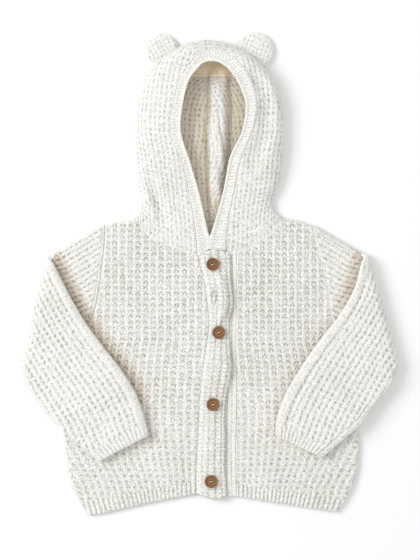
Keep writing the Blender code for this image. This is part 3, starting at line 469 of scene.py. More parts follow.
def knit_finish(name, plies, fuzz, pit_shade_strength):
    """Off-white cotton knit, with painted shade: darker and warmer in the pits and where `inside` says,
    and a painted warm light at the hood's crown.
    """
    material, tree, shader = new_finish(name)
    yarn = node_of(tree, "Group")
    yarn.node_tree = YARN
    cells = node_of(tree, "UVMap")
    cells.uv_map = "cells"
    pit, inside = node_of(tree, "Attribute"), node_of(tree, "Attribute")
    pit.attribute_name, inside.attribute_name = "pit", "inside"
    for label, value in (("Cells", cells.outputs[0]), ("Plies", plies), ("Fuzz", fuzz),
                         ("Place", node_of(tree, "TexCoord").outputs["Object"])):
        feed(tree, yarn.inputs[label], value)
    tint = yarn.outputs["Tint"]
    light = mixed(tree, tint, RIDGE_COLOUR, YARN_SHADE)
    # Painted shade in the pits, unevenly strong from stitch to stitch.
    uneven_pit_shade = maths(tree, "MULTIPLY", pit.outputs["Fac"], maths(tree, "ADD", tint, 0.45))
    pit_shade_share = maths(tree, "MULTIPLY", uneven_pit_shade, pit_shade_strength)
    outer = mixed(tree, pit_shade_share, light, PIT_SHADE_COLOUR)
    # Warm painted shade, where the attribute `inside` says.
    painted_inside_shade = mixed(tree, pit_shade_share, INSIDE_SHADE_COLOUR, INSIDE_PIT_SHADE)
    shaded = mixed(tree, inside.outputs["Fac"], outer, painted_inside_shade)
    # Painted warm light at the hood's crown, where `inside` is above 1.
    crown_light_share = maths(tree, "SUBTRACT", inside.outputs["Fac"], 1.0)
    colour = mixed(tree, crown_light_share, shaded, CROWN_WARM_LIGHT)
    surface(tree, shader, colour, (0.82, 0.98), tint, (0.45, 0.35), yarn.outputs["Height"])
    shader.inputs["Sheen Weight"].default_value = 0.15
    shader.inputs["Sheen Roughness"].default_value = 0.6
    return material


IVORY_KNIT = knit_finish("ivory_waffle_knit", plies=3.0, fuzz=0.6, pit_shade_strength=0.95)
IVORY_RIB = knit_finish("ivory_rib_knit", plies=2.0, fuzz=0.5, pit_shade_strength=0.85)
print("finishes:", IVORY_KNIT.name, IVORY_RIB.name)

# %% [markdown]
# ## The pattern pieces
# A maker would draw these outlines on paper. They are read off the flat
# garment: the four buttons are 14 mm across, which sets the scale. The same
# seam line serves both pieces that meet along it, so they can't drift apart.

# %% Outlines and heights, mm
WALL, GAP, SEAM = 2.6, 0.3, -0.08
FRONT_INSIDE = WALL + GAP        # height of the fronts' inner face
FRONT_HEIGHT = 300.0             # the length that t counts on a front
EDGE_RADIUS, EDGE_LIP = 4.2, 2.0
HEM_DEPTH = 15.0
HEM_RIBS = 1.4                   # ribs of the hem to a ridge of the body
SIDE_REACH = 85.0                # how far in the side still bends the ridges
SIDE_LINE = 143.0                # where the side would be if it were straight
HEM_GATHER = 0.22                # how much closer together the ridges are at the hem
HEM_FAN = 0.26                   # how far the ridges lean there
FAN_START = -208.0               # and from which height down
RELIEF = 1.7                     # ridge top to pit bottom
SHADE_REACH = 18.0               # how far a forearm's shade reaches

HEM_R = ((-134.0, -265.5), (-120.0, -263.5), (-70.0, -252.5), (-15.1, -241.8))
SIDE_R = ((-134.0, -265.5), (-147.0, -243.5), (-154.0, -229.0), (-157.0, -208.0),
          (-161.2, -171.5), (-158.0, -133.0), (-150.0, -100.0), (-140.2, -70.3))
ARMHOLE_R = ((-140.2, -70.3), (-128.5, -46.0), (-122.0, -20.0), (-118.5, 8.0),
             (-115.5, 33.0), (-115.0, 54.0))
SHOULDER_R = ((-115.0, 54.0), (-98.5, 57.9), (-87.5, 59.5), (-79.8, 60.6))
NECK_R = ((-79.8, 60.6), (-74.2, 50.7), (-65.5, 41.9), (-54.5, 36.4),
          (-38.0, 29.9), (-24.5, 25.1), (-12.7, 19.3))
BAND_SEAM_R = ((-15.1, -241.8), (-15.1, -217.7), (-12.3, -162.7), (-8.7, -108.8),
               (-3.2, -75.8), (-0.6, -53.8), (-3.0, -30.0), (-6.1, -8.1), (-12.7, 19.3))
HEM_L = ((141.4, -262.0), (100.0, -256.0), (60.0, -249.5), (30.3, -244.8))
SIDE_L = ((141.4, -262.0), (154.6, -241.9), (162.2, -221.0), (165.0, -193.5),
          (165.0, -166.0), (160.1, -133.0), (151.2, -100.0), (141.4, -72.5))
ARMHOLE_L = ((141.4, -72.5), (134.5, -45.0), (130.8, -15.0), (124.5, 10.0),
             (118.3, 32.0), (115.0, 53.0))
SHOULDER_L = ((115.0, 53.0), (99.6, 58.6), (89.3, 60.4), (79.5, 61.5))
NECK_L = ((79.5, 61.5), (74.2, 52.9), (66.6, 45.2), (57.8, 37.0),
          (44.6, 30.0), (30.3, 26.4), (18.2, 25.8))
BAND_SEAM_L = ((30.3, -244.8), (29.4, -193.5), (30.3, -138.5), (29.4, -83.5),
               (30.3, -28.5), (30.3, 26.4))
print("side seams:", round(length_of(SIDE_R)), "and", round(length_of(SIDE_L)), "mm")

# %% Where the forearms lie, mm
# Columns: over_x, over_y, under_x, under_y, thick.
FOREARM_R = (
    (-158.0, -16.5, -198.0, -122.0, 7.0),
    (-139.0, -50.0, -190.0, -134.5, 7.2),
    (-117.5, -80.0, -178.0, -151.0, 7.4),
    (-97.0, -106.0, -164.0, -169.0, 7.2),
    (-80.0, -135.0, -146.0, -184.5, 7.0),
    (-71.5, -161.5, -131.5, -197.0, 6.6),
    (-67.7, -177.0, -121.0, -205.6, 6.2),
)
FOREARM_L = (
    (160.0, -15.0, 199.0, -120.0, 7.0),
    (143.1, -45.5, 190.5, -132.0, 7.2),
    (122.0, -72.5, 179.0, -146.0, 7.4),
    (101.0, -103.0, 166.0, -164.5, 7.2),
    (84.0, -132.0, 148.0, -180.0, 7.0),
    (74.5, -160.0, 134.0, -192.0, 6.6),
    (73.2, -177.0, 123.0, -201.2, 6.2),
)

# %% [markdown]
# ## The fronts
# Each front is one knitted panel. Its side and shoulder edges roll over and
# come down to the surface, and its other edges dip into seams. The ridges run
# straight up the chest, whatever the outline does, and are cut off at the
# armhole, just as a knitted panel is shaped. Below that they bend a little with
# the side. Towards the hem they are drawn closer together and lean inwards, and
# every pit there is narrower, because the ribs gather the cloth.

# %% Folds and dents in the fronts
FRONT_FOLDS = (
    # from (x, y) to (x, y), half width, height
    ((-100.0, 30.0), (-60.0, -60.0), 14.0, 0.5),
    ((-125.0, -232.0), (-70.0, -170.0), 16.0, 0.7),
    ((-40.0, -244.0), (-46.0, -170.0), 12.0, 0.6),
    ((-88.0, -252.0), (-80.0, -196.0), 9.0, -0.6),
    ((45.0, 10.0), (62.0, -90.0), 15.0, 0.6),
    ((118.0, -240.0), (78.0, -176.0), 15.0, 0.7),
    ((60.0, -246.0), (54.0, -150.0), 12.0, 0.6),
    ((92.0, -252.0), (84.0, -200.0), 8.0, -0.5),
    ((98.0, 20.0), (84.0, -40.0), 9.0, -0.5),
)


def folded_by(plan, folds):
    """How far the listed soft folds lift or lower each point."""
    lift = np.zeros(plan.shape[:-1])
    for start, end, half, height in folds:
        start, end = np.array(start), np.array(end)
        along = (end - start) / np.linalg.norm(end - start)
        run = np.clip(((plan - start) @ along) / np.linalg.norm(end - start), 0.0, 1.0)
        nearest = start + run[..., None] * (end - start)
        distance = np.linalg.norm(plan - nearest, axis=-1)
        lift += height * np.exp(-(distance / half) ** 2) * (0.35 + 0.65 * np.sin(np.pi * run))
    return lift


def puff(s, t):
    """How far a front's middle stands off the back."""
    return 1.1 * hump(s) * hump(t) + 0.7 * hump(s) * hump((t - 0.02) / 0.2)


def beside(plan, line, reach):
    """1 along a forearm's upper edge, and 0 from a distance on: where the cloth is shaded."""
    nearest = np.min([np.linalg.norm(plan - point, axis=-1) for point in line], axis=0)
    return ease(nearest, reach, 0.35 * reach)


# %% Edges of a front, and where its stitches go
def front_edges(hem, side, armhole, shoulder, neck, centre, turn):
    side_share = length_of(side) / (length_of(side) + length_of(armhole))
    rows = np.asarray(neck)
    stretch = knots_of(rows)[np.argmin(np.linalg.norm(rows - np.asarray(centre[-1]), axis=1))]
    shoulder_share = length_of(shoulder) / (length_of(shoulder) + length_of(neck) * stretch)
    armhole_line = moved_in(curve_of(armhole), SEAM, -turn)
    neck_line = moved_in(lambda at: smooth(neck, at * stretch), SEAM, -turn)
    near = end_to_end(curve_of(side), armhole_line, side_share)
    top = end_to_end(curve_of(shoulder), neck_line, shoulder_share)
    far = moved_in(curve_of(centre), SEAM, turn)
    return curve_of(hem), top, near, far, side_share, shoulder_share


def front_cells(plan, side, middle, turn, ridge_pitch):
    """Stitch counts: straight ridges, bent with the side, gathered and leaning at the hem."""
    x, y = plan[..., 0], plan[..., 1]
    line = smooth(side, np.linspace(0, 1, 60))
    here = np.interp(np.maximum(y, FAN_START), line[:, 1], line[:, 0])
    drawn = np.exp(-np.abs(x - here) / SIDE_REACH)
    gathered = 1.0 + HEM_GATHER * ease(y, -145.0, -240.0)
    fan = HEM_FAN * ease(np.abs(x - middle), 0.0, 80.0)
    fan = turn * fan * np.maximum(FAN_START - y, 0.0)
    u = (x - middle - fan - (here - SIDE_LINE * -turn) * drawn) * gathered / ridge_pitch
    return u, y / BODY_CELL[1]


# %% The surface of a front
def front_surface(tables, turn, columns, rows):
    """A front before its stitches: outer and inner points, and how far in each point lies."""
    bottom, top, near, far, side_share, shoulder_share = front_edges(*tables, turn)
    height = FRONT_HEIGHT
    t = np.concatenate([np.array([0.0, 0.5, 1.1]) / height,
                        np.linspace(1.9 / height, 1.0 - EDGE_RADIUS / height, rows),
                        1.0 - edge_steps(EDGE_RADIUS, 6)[-2::-1] / height])
    width = np.linalg.norm(far(t) - near(t), axis=1)[:, None]
    curl = edge_steps(EDGE_RADIUS, 5)[None, :]
    body = EDGE_RADIUS + (width - EDGE_RADIUS - 1.2) * np.linspace(0, 1, columns)[None, 1:]
    seam = width - np.array([0.7, 0.3, 0.0])[None, :]
    from_side = side_by_side(np.broadcast_to(curl, (len(t), curl.size)), body, seam)
    s = from_side / width
    grid_t = np.broadcast_to(t[:, None], s.shape)
    plan = patch(bottom, top, near, far, s, grid_t)

    from_top, from_hem = (1.0 - grid_t) * height, grid_t * height
    at_side = ease(grid_t, side_share + 0.012, side_share - 0.012)
    at_shoulder = ease(s, shoulder_share + 0.02, shoulder_share - 0.02)
    side_round = (at_side * rounded(from_side, EDGE_RADIUS)
                  + (1 - at_side) * (0.95 + 0.05 * rounded(from_side, 1.2)))
    top_round = (at_shoulder * rounded(from_top, EDGE_RADIUS)
                 + (1 - at_shoulder) * (0.94 + 0.06 * rounded(from_top, 1.2)))
    centre_round = 0.86 + 0.14 * rounded(width - from_side, 1.0)
    hem_round = 0.55 + 0.45 * rounded(from_hem, 2.2)
    full = FRONT_INSIDE + WALL + puff(s, grid_t) + folded_by(plan, FRONT_FOLDS)
    shape = np.minimum(np.minimum(side_round, top_round), np.minimum(centre_round, hem_round))
    z = EDGE_LIP + (full - EDGE_LIP) * shape

    inner_s = np.concatenate([[0.99], np.linspace(0.94, 0.06, 10), [0.0]])
    inner_width = width * inner_s[None, :]
    inner_t = np.broadcast_to(t[:, None], inner_width.shape)
    inner_plan = patch(bottom, top, near, far, inner_width / width, inner_t)
    at_surface = ease((1 - inner_t) * height, 5.0, 2.0) * (inner_width / width <= shoulder_share)
    rests = np.maximum(ease(inner_width, 5.0, 2.0) * (inner_t <= side_share), at_surface)
    inner_z = (FRONT_INSIDE + puff(inner_width / width, inner_t)) * (1.0 - rests) + 0.02
    return (with_z(plan, z), with_z(inner_plan, inner_z), rests,
            (from_side, width - from_side, from_hem, from_top))


# %% Front panels
def front_panel(node, tables, turn, ridge_pitch, forearm, dim, columns=168, rows=360):
    """A front with its stitches, and with the shade beside the forearm that lies on it."""
    base, under, rests, from_edges = front_surface(tables, turn, columns, rows)
    from_side, from_centre, from_hem, from_top = from_edges
    plan, middle = base[..., :2], tables[-1][0][0]
    u, v = front_cells(plan, tables[1], middle, turn, ridge_pitch)
    in_hem = ease(from_hem, HEM_DEPTH + 3.0, HEM_DEPTH - 2.0)
    drawn_in = ease(plan[..., 1], -120.0, -190.0)
    knit = waffle(u, v, NUB_RADIUS - 0.8 * drawn_in) * (1.0 - in_hem) + ribs(u * HEM_RIBS, v) * in_hem
    strong = np.minimum(ease(from_hem, 0.0, 1.5), ease(from_top, 0.0, 3.0)) * ease(from_side, 0.0, 2.5)
    strong = strong * (0.35 + 0.65 * ease(from_centre, 0.0, 1.2))
    normal = normals_of(base, 1.0)
    normal *= np.sign(normal[len(base) // 2, base.shape[1] // 2, 2])
    outer = relieved(base, normal, (knit - 0.25) * RELIEF * strong, 0.05)

    cells = side_by_side(np.stack([u, v], axis=2), (under[..., :2] - [middle, 0.0]) / np.array(BODY_CELL))
    # Painted shade in the pits, stronger in the hem.
    pit = side_by_side((1.0 - knit) * strong * (1.0 + 0.6 * in_hem), np.full(rests.shape, 0.5))
    # Painted shade of the forearm lying on the front: darker pits and, through `inside`, a warm tint. The
    # hidden inner face gets the warm painted shade too.
    line = smooth(np.asarray(forearm)[:, :2], np.linspace(0.0, 1.0, 40))
    shade = dim * beside(plan, line, SHADE_REACH) * (0.35 + 0.65 * ease(plan[..., 1], -165.0, -115.0))
    pit[:, :shade.shape[1]] += 0.25 * shade
    piece = lay_cloth(node, side_by_side(outer, under), cells, pit, IVORY_KNIT,
                      side_by_side(shade, 1.0 - rests), split=outer.shape[1])
    declare(piece, (175.0, 340.0), area_of(base))


front_panel("front_right", (HEM_R, SIDE_R, ARMHOLE_R, SHOULDER_R, NECK_R, BAND_SEAM_R), 1, 8.6,
            FOREARM_R, 0.85)
front_panel("front_left", (HEM_L, SIDE_L, ARMHOLE_L, SHOULDER_L, NECK_L, BAND_SEAM_L), -1, 8.2,
            FOREARM_L, 0.3)

# %% [markdown]
# ## The back
# One flat panel that everything else lies on. It is seen from below, where its
# ridges rest on the surface and its pits go up. The fronts wrap round its
# edge, so it is cut a little smaller than they are, and its neck is shaped.
# Its face towards the fronts is hidden, so a few columns are enough there.

# %% Back panel
BACK_WIDTH, BACK_HEIGHT = 300.0, 320.0
BACK_NECK = ((-83.5, 56.0), (-78.0, 48.5), (-71.0, 49.5), (-65.0, 59.3), (-30.0, 58.3),
             (0.0, 57.3), (30.0, 58.4), (65.0, 59.8), (71.0, 50.5), (78.0, 49.5),
             (83.5, 56.5))


def straight(rows, at):
    """Points on the line of straight runs through a table's rows, at 0 to 1."""
    rows = np.asarray(rows, float)
    knots = knots_of(rows)
    return np.stack([np.interp(at, knots, rows[:, k]) for k in range(rows.shape[1])], axis=-1)


def back_line(side, armhole, turn):
    """The back's own edge: inside the front's wrap, then along the armhole seam."""
    inset = moved_in(curve_of(side), WALL + GAP, -turn)(np.linspace(0.0, 1.0, 8))
    knots = knots_of(np.asarray(armhole))
    hidden = moved_in(curve_of(armhole), WALL + GAP, -turn)(knots[1:2])
    seam = moved_in(curve_of(armhole), SEAM, -turn)(knots[2:])
    line = np.concatenate([inset, hidden, seam])
    line[-1, 1] -= WALL + 2.0 * GAP
    return line


def back_panel(columns=200, rows=200):
    near, far = back_line(SIDE_R, ARMHOLE_R, 1), back_line(SIDE_L, ARMHOLE_L, -1)
    top = np.array([near[-1], (-98.5, 54.4), *BACK_NECK, (99.6, 55.2), far[-1]])
    hem = np.array([near[0], *(np.array(HEM_R[1:]) + [0.0, 1.0]),
                    *(np.array(HEM_L[:0:-1]) + [0.0, 1.0]), far[0]])

    def spanned(across):
        s, t = np.meshgrid(across, np.linspace(0.0, 1.0, rows))
        plan = patch(curve_of(hem), lambda at: straight(top, at),
                     curve_of(near), curve_of(far), s, t)
        return s, t, plan

    s, t, plan = spanned(np.linspace(0.0, 1.0, columns))
    from_hem = t * BACK_HEIGHT
    to_edge = np.minimum(np.minimum(s, 1.0 - s) * BACK_WIDTH, np.minimum(t, 1.0 - t) * BACK_HEIGHT)
    u, v = plan[..., 0] / BODY_CELL[0], plan[..., 1] / BODY_CELL[1]
    in_hem = ease(from_hem, HEM_DEPTH + 3.0, HEM_DEPTH - 2.0)
    knit = waffle(u, v) * (1.0 - in_hem) + ribs(u * HEM_RIBS, v) * in_hem
    strong = ease(to_edge, 0.0, 2.0)
    z = 0.03 + RELIEF * (1.0 - knit) * strong + 1.0 * (1.0 - rounded(to_edge, 1.8))
    over_s, _, over_plan = spanned(np.linspace(0.995, 0.005, 12))
    points = side_by_side(with_z(plan, z), with_z(over_plan, WALL))
    cells = points[..., :2] / np.array(BODY_CELL)
    # Painted shade: darker pits below, and a warm painted shade on the upper face that shows through the
    # opening at the neck.
    pit = side_by_side((1.0 - knit) * strong, np.full(over_s.shape, 0.4))
    upper_face_shade = side_by_side(np.zeros(s.shape), np.full(over_s.shape, 0.9))
    piece = lay_cloth("back_panel", points, cells, pit, IVORY_KNIT,
                      upper_face_shade, split=columns)
    declare(piece, (325.0, 325.0), area_of(with_z(plan, 0.0)))


back_panel()

# %% [markdown]
# ## The button bands
# Both bands are knitted in upright ribs. The wearer's right one lies on top.
# It climbs over the edge of the other, is held down by the buttons and
# bows up between them, most of all between the first two, where a short
# pucker opens. Each rib looks like a chain, so its height drops a little at
# every stitch.

# %% Lines and folds of the bands
TOP_BAND_FREE = ((20.0, -241.0), (17.8, -218.0), (17.8, -181.4), (17.8, -145.1),
                 (19.6, -131.9), (25.1, -104.4), (23.2, -81.3), (22.3, -50.5),
                 (26.3, -35.1), (24.2, -8.1), (23.6, 19.5))
TOP_BAND_END = ((-14.7, -241.6), (-6.0, -243.5), (2.0, -246.6), (14.9, -246.6),
                (20.0, -241.0))
TOP_BAND_TOP = ((-13.0, 20.6), (-5.6, 25.6), (1.0, 28.8), (12.0, 27.8),
                (18.0, 27.0), (23.6, 21.5))
UNDER_BAND_TOP = ((-3.7, 22.9), (0.0, 25.4), (18.2, 27.0), (30.1, 27.4))
UNDER_BAND_SETBACK = 9.0      # its covered edge lies this far inside the upper seam
UNDER_BAND_RIB = 5.5
BAND_WIDTH, BAND_LENGTH = 33.0, 262.0
BAND_STITCH = 4.6
BAND_STEP = 7.5               # the upper band climbs over it in this distance
BAND_BOW = 1.3                # and stands up by this much between its buttons
BAND_RIB = 1.3                # height of its upright ribs
STEP_CLEAR = 0.15             # what its coarser inside needs on top of the gap
BUTTONS = (                   # centre, and the tilt about X and Y in degrees
    (3.2, 10.9, 14.0, 10.0), (9.9, -64.2, -4.0, 6.0),
    (3.9, -142.9, 3.0, -3.0), (1.7, -227.6, -3.0, 4.0))
BAND_FOLDS = (
    ((8.0, 3.0), (15.0, -9.0), 3.6, 2.2),
    ((14.0, -6.0), (17.5, -24.0), 3.6, 3.8),
    ((17.5, -20.0), (17.0, -40.0), 3.6, 3.8),
    ((17.5, -36.0), (12.5, -51.0), 3.6, 3.4),
    ((13.0, -48.0), (8.0, -58.0), 3.6, 2.0),
    ((5.4, -17.0), (8.0, -26.0), 1.3, -4.5),
    ((8.0, -25.0), (5.6, -35.0), 1.3, -4.5),
    ((4.4, -19.0), (3.6, -33.0), 1.2, -3.0),
    ((2.0, -84.0), (0.0, -122.0), 6.0, 0.6),
    ((15.0, -76.0), (19.5, -104.0), 4.5, 2.2),
    ((19.5, -100.0), (13.0, -130.0), 4.5, 2.2),
    ((-4.0, -165.0), (3.0, -205.0), 7.0, 0.6),
)


def band_lift(y):
    """The upper band stands up a little between its buttons."""
    heights = [button[1] for button in BUTTONS]
    return sum(BAND_BOW * hump((y - low) / (high - low))
               for high, low in zip(heights[:-1], heights[1:]))


# %% The upper band
def top_band(columns=46, rows=280):
    seam = moved_in(curve_of(BAND_SEAM_R), SEAM, -1)

    def laid(across):
        s, t = np.meshgrid(across, np.linspace(0.0, 1.0, rows))
        plan = patch(curve_of(TOP_BAND_END), curve_of(TOP_BAND_TOP),
                     seam, curve_of(TOP_BAND_FREE), s, t)
        climb = np.clip((s * BAND_WIDTH - 0.5) / BAND_STEP, 0.0, 1.0)
        step = (WALL + GAP + STEP_CLEAR) * climb * climb * (3.0 - 2.0 * climb)
        low = FRONT_INSIDE + step + (band_lift(plan[..., 1]) + folded_by(plan, BAND_FOLDS)) * climb
        return s, t, plan, low

    s, t, plan, low = laid(np.concatenate([np.linspace(0.0, 0.94, columns - 6),
                                           [0.955, 0.968, 0.98, 0.989, 0.996, 1.0]]))
    from_free, from_hem, from_top = (1.0 - s) * BAND_WIDTH, t * BAND_LENGTH, (1.0 - t) * BAND_LENGTH
    ends = np.minimum(rounded(from_free + 0.3, 5.5), rounded(from_hem + 0.5, 2.6))
    ends = np.minimum(ends, 0.72 + 0.28 * rounded(from_top + 0.5, 2.0))
    ends = np.minimum(ends, 0.5 + 0.5 * rounded(s * BAND_WIDTH, 1.5))
    u, v = s * 5.0 - 0.5, plan[..., 1] / BAND_STITCH
    knit = ribs(u, v, notch=0.20)
    upper = with_z(plan, low + (WALL + BAND_RIB * knit) * ends)
    in_s, _, in_plan, in_low = laid(np.linspace(0.99, 0.01, 7))
    points = side_by_side(upper, with_z(in_plan, in_low))
    cells = side_by_side(np.stack([u, v], axis=2),
                         np.stack([in_s * 5.0, in_plan[..., 1] / BAND_STITCH], axis=2))
    # Painted shade in the furrows between the ribs, stronger towards the free edge.
    furrows = (1.0 - knit * ease(ends, 0.4, 0.9)) * (1.0 + 0.5 * ease(s, 0.4, 0.6))
    pit = side_by_side(furrows, np.full(in_s.shape, 0.5))
    piece = lay_cloth("band_right", points, cells, pit, IVORY_RIB, split=upper.shape[1])
    declare(piece, (42.0, 275.0), area_of(with_z(plan, low)))


# %% The lower band
def under_band(columns=40, rows=230):
    t = np.linspace(0.0, 1.0, rows)
    covered = moved_in(curve_of(BAND_SEAM_R), UNDER_BAND_SETBACK, -1)(t)
    seam = moved_in(curve_of(BAND_SEAM_L), SEAM, 1)(t)
    ends = smooth(UNDER_BAND_TOP, np.linspace(0.0, 1.0, 3))
    covered += (ends[0] - covered[-1]) * ease(t, 0.96, 1.0)[:, None]
    seam += (ends[2] - seam[-1]) * ease(t, 0.96, 1.0)[:, None]
    width = np.linalg.norm(seam - covered, axis=1)[:, None]
    s = np.linspace(0.0, 1.0, columns)[None, :]
    plan = covered[:, None] + (seam - covered)[:, None] * s[..., None]
    from_seam = (1.0 - s) * width
    u, v = from_seam / UNDER_BAND_RIB - 0.5, plan[..., 1] / BAND_STITCH
    knit = ribs(u, v)
    edges = np.minimum(rounded(s * 30.0 + 0.4, 2.5), 0.6 + 0.4 * rounded(from_seam, 1.2))
    edges = np.minimum(edges, rounded(np.minimum(t, 1.0 - t) * BAND_LENGTH + 0.5, 2.2)[:, None])
    upper = with_z(plan, FRONT_INSIDE + (WALL - 0.4 + 0.9 * knit) * edges)
    lower = with_z(plan[:, ::-6], FRONT_INSIDE)
    cells = np.stack([u, v], axis=2)
    # Painted shade in the furrows between the ribs.
    pit = side_by_side(1.0 - knit, np.full(lower.shape[:2], 0.5))
    piece = lay_cloth("band_left", side_by_side(upper, lower), side_by_side(cells, cells[:, ::-6]),
                      pit, IVORY_RIB, split=columns)
    declare(piece, (36.0, 275.0), area_of(with_z(plan, 0.0)))


under_band()
top_band()

# %% [markdown]
# ## The sleeves
# A sleeve is a flat tube. It runs out from the armhole, folds over along a
# slanting line and lies back across the front, which turns its underside up.
# So the tube is built straight from rings, and each ring is then turned about
# the fold by an angle from 0 to 180 degrees. Both layers are one grid, which
# turns in at the cuff and comes back inside, plain and without relief. The
# stitches are counted on the sleeve as it would lie with the fold opened out,
# so the ridges run on over the elbow, along the forearm to the cuff.

# %% Lines and folds of the sleeves
ELBOW_R = ((-178.8, 18.8), (-206.9, -101.9))    # outermost line of the fold
ELBOW_L = ((174.0, 21.0), (207.5, -99.0))
ARMHOLE_THICK, UPPER_THICK = 5.8, 7.0
TURN_HEIGHT = 8.2     # height of the axis that a sleeve is folded about
SLEEVE_CELL = (6.3, 6.4)
CUFF_RIBS = 14.0
ELBOW_SLIP = 5.5      # the fold's two sides slide this far along it
FOREARM_ROWS = 176
ARM_FOLDS_R = (
    ((-168.0, -60.0), (-120.0, -128.0), 10.0, 0.5),
    ((-190.0, -112.0), (-140.0, -165.0), 8.0, -0.5),
    ((-120.0, -98.0), (-96.0, -150.0), 9.0, 0.5),
)
ARM_FOLDS_L = (
    ((160.0, -40.0), (118.0, -118.0), 10.0, 0.6),
    ((186.0, -96.0), (150.0, -150.0), 9.0, -0.6),
    ((108.0, -112.0), (100.0, -160.0), 8.0, 0.5),
)
print("sleeve stitch:", SLEEVE_CELL, "mm,", CUFF_RIBS, "ribs across a cuff")


# %% Rings of a sleeve
def cord_over(distance, middle, half):
    """Height of a round cord that runs at a distance from an edge."""
    return np.sqrt(np.clip(1.0 - ((distance - middle) / half) ** 2, 0.0, 1.0))


def sleeve_rings(armhole, elbow, forearm, turn):
    """Where each ring's two edges are, how thick it is and how far it has turned."""
    elbow = np.asarray(elbow)
    down = (elbow[1] - elbow[0]) / np.linalg.norm(elbow[1] - elbow[0])
    outward = np.array([down[1], -down[0]]) * turn
    base = elbow - outward * TURN_HEIGHT
    seam = moved_in(curve_of(armhole), SEAM, turn)
    tip, pit = seam(np.ones(1))[0], seam(np.zeros(1))[0]
    share = np.linspace(0.0, 1.0, 54)[:, None]
    slip = down * ELBOW_SLIP
    angle = np.linspace(0.0, 180.0, 30)[1:-1]
    along = down * (ELBOW_SLIP * (angle / 90.0 - 1.0))[:, None]
    lower = smooth(np.array([[*(base[0] + slip), *(base[1] + slip), UPPER_THICK], *forearm]),
                   np.linspace(0.0, 1.0, FOREARM_ROWS))
    over = np.concatenate([tip + (base[0] - slip - tip) * share, base[0] + along, lower[:, :2]])
    under = np.concatenate([pit + (base[1] - slip - pit) * share, base[1] + along, lower[:, 2:4]])
    thick = np.concatenate([ARMHOLE_THICK + (UPPER_THICK - ARMHOLE_THICK) * share[:, 0],
                            np.full(len(angle), UPPER_THICK), lower[:, 4]])
    turned = np.radians(np.concatenate([0.0 * share[:, 0], angle, np.full(len(lower), 180.0)]))
    keep = np.concatenate([np.interp(share[:, 0], [0.0, 0.3, 0.65, 1.0], [1.0, 0.6, 0.2, 0.0]),
                           np.zeros(len(angle) + len(lower))])
    return over, under, thick, turned, keep, outward, seam, base[0]


# %% Where a sleeve's stitches go
def opened_out(plan, turned, outward, fold_line):
    """Where each point would lie beside the forearm if the fold were opened out flat."""
    inside = ((fold_line - plan) @ outward) * (turned < 0.01)
    return plan + ((math.pi - turned) * TURN_HEIGHT + 2.0 * inside)[..., None] * outward


def sleeve_cells(flat, below):
    """Stitch counts on the opened sleeve: ridges follow its over edge, less and less further in."""
    edge = flat[:, 0]
    along = (edge[-1] - edge[-FOREARM_ROWS]) / np.linalg.norm(edge[-1] - edge[-FOREARM_ROWS])
    aside = np.array([-along[1], along[0]])
    aside = aside * np.sign((flat[-1, flat.shape[1] // 4] - edge[-1]) @ aside)
    forward, sideways = (flat - edge[-1]) @ along, (flat - edge[-1]) @ aside
    edge_forward, edge_sideways = (edge - edge[-1]) @ along, (edge - edge[-1]) @ aside
    here = np.interp(forward, np.maximum.accumulate(edge_forward), edge_sideways)
    drawn = here * np.exp(-np.abs(sideways - here) / SIDE_REACH)
    turned_over = np.where(below, -1.0, 1.0)
    return turned_over * (sideways - drawn) / SLEEVE_CELL[0], forward / SLEEVE_CELL[1]


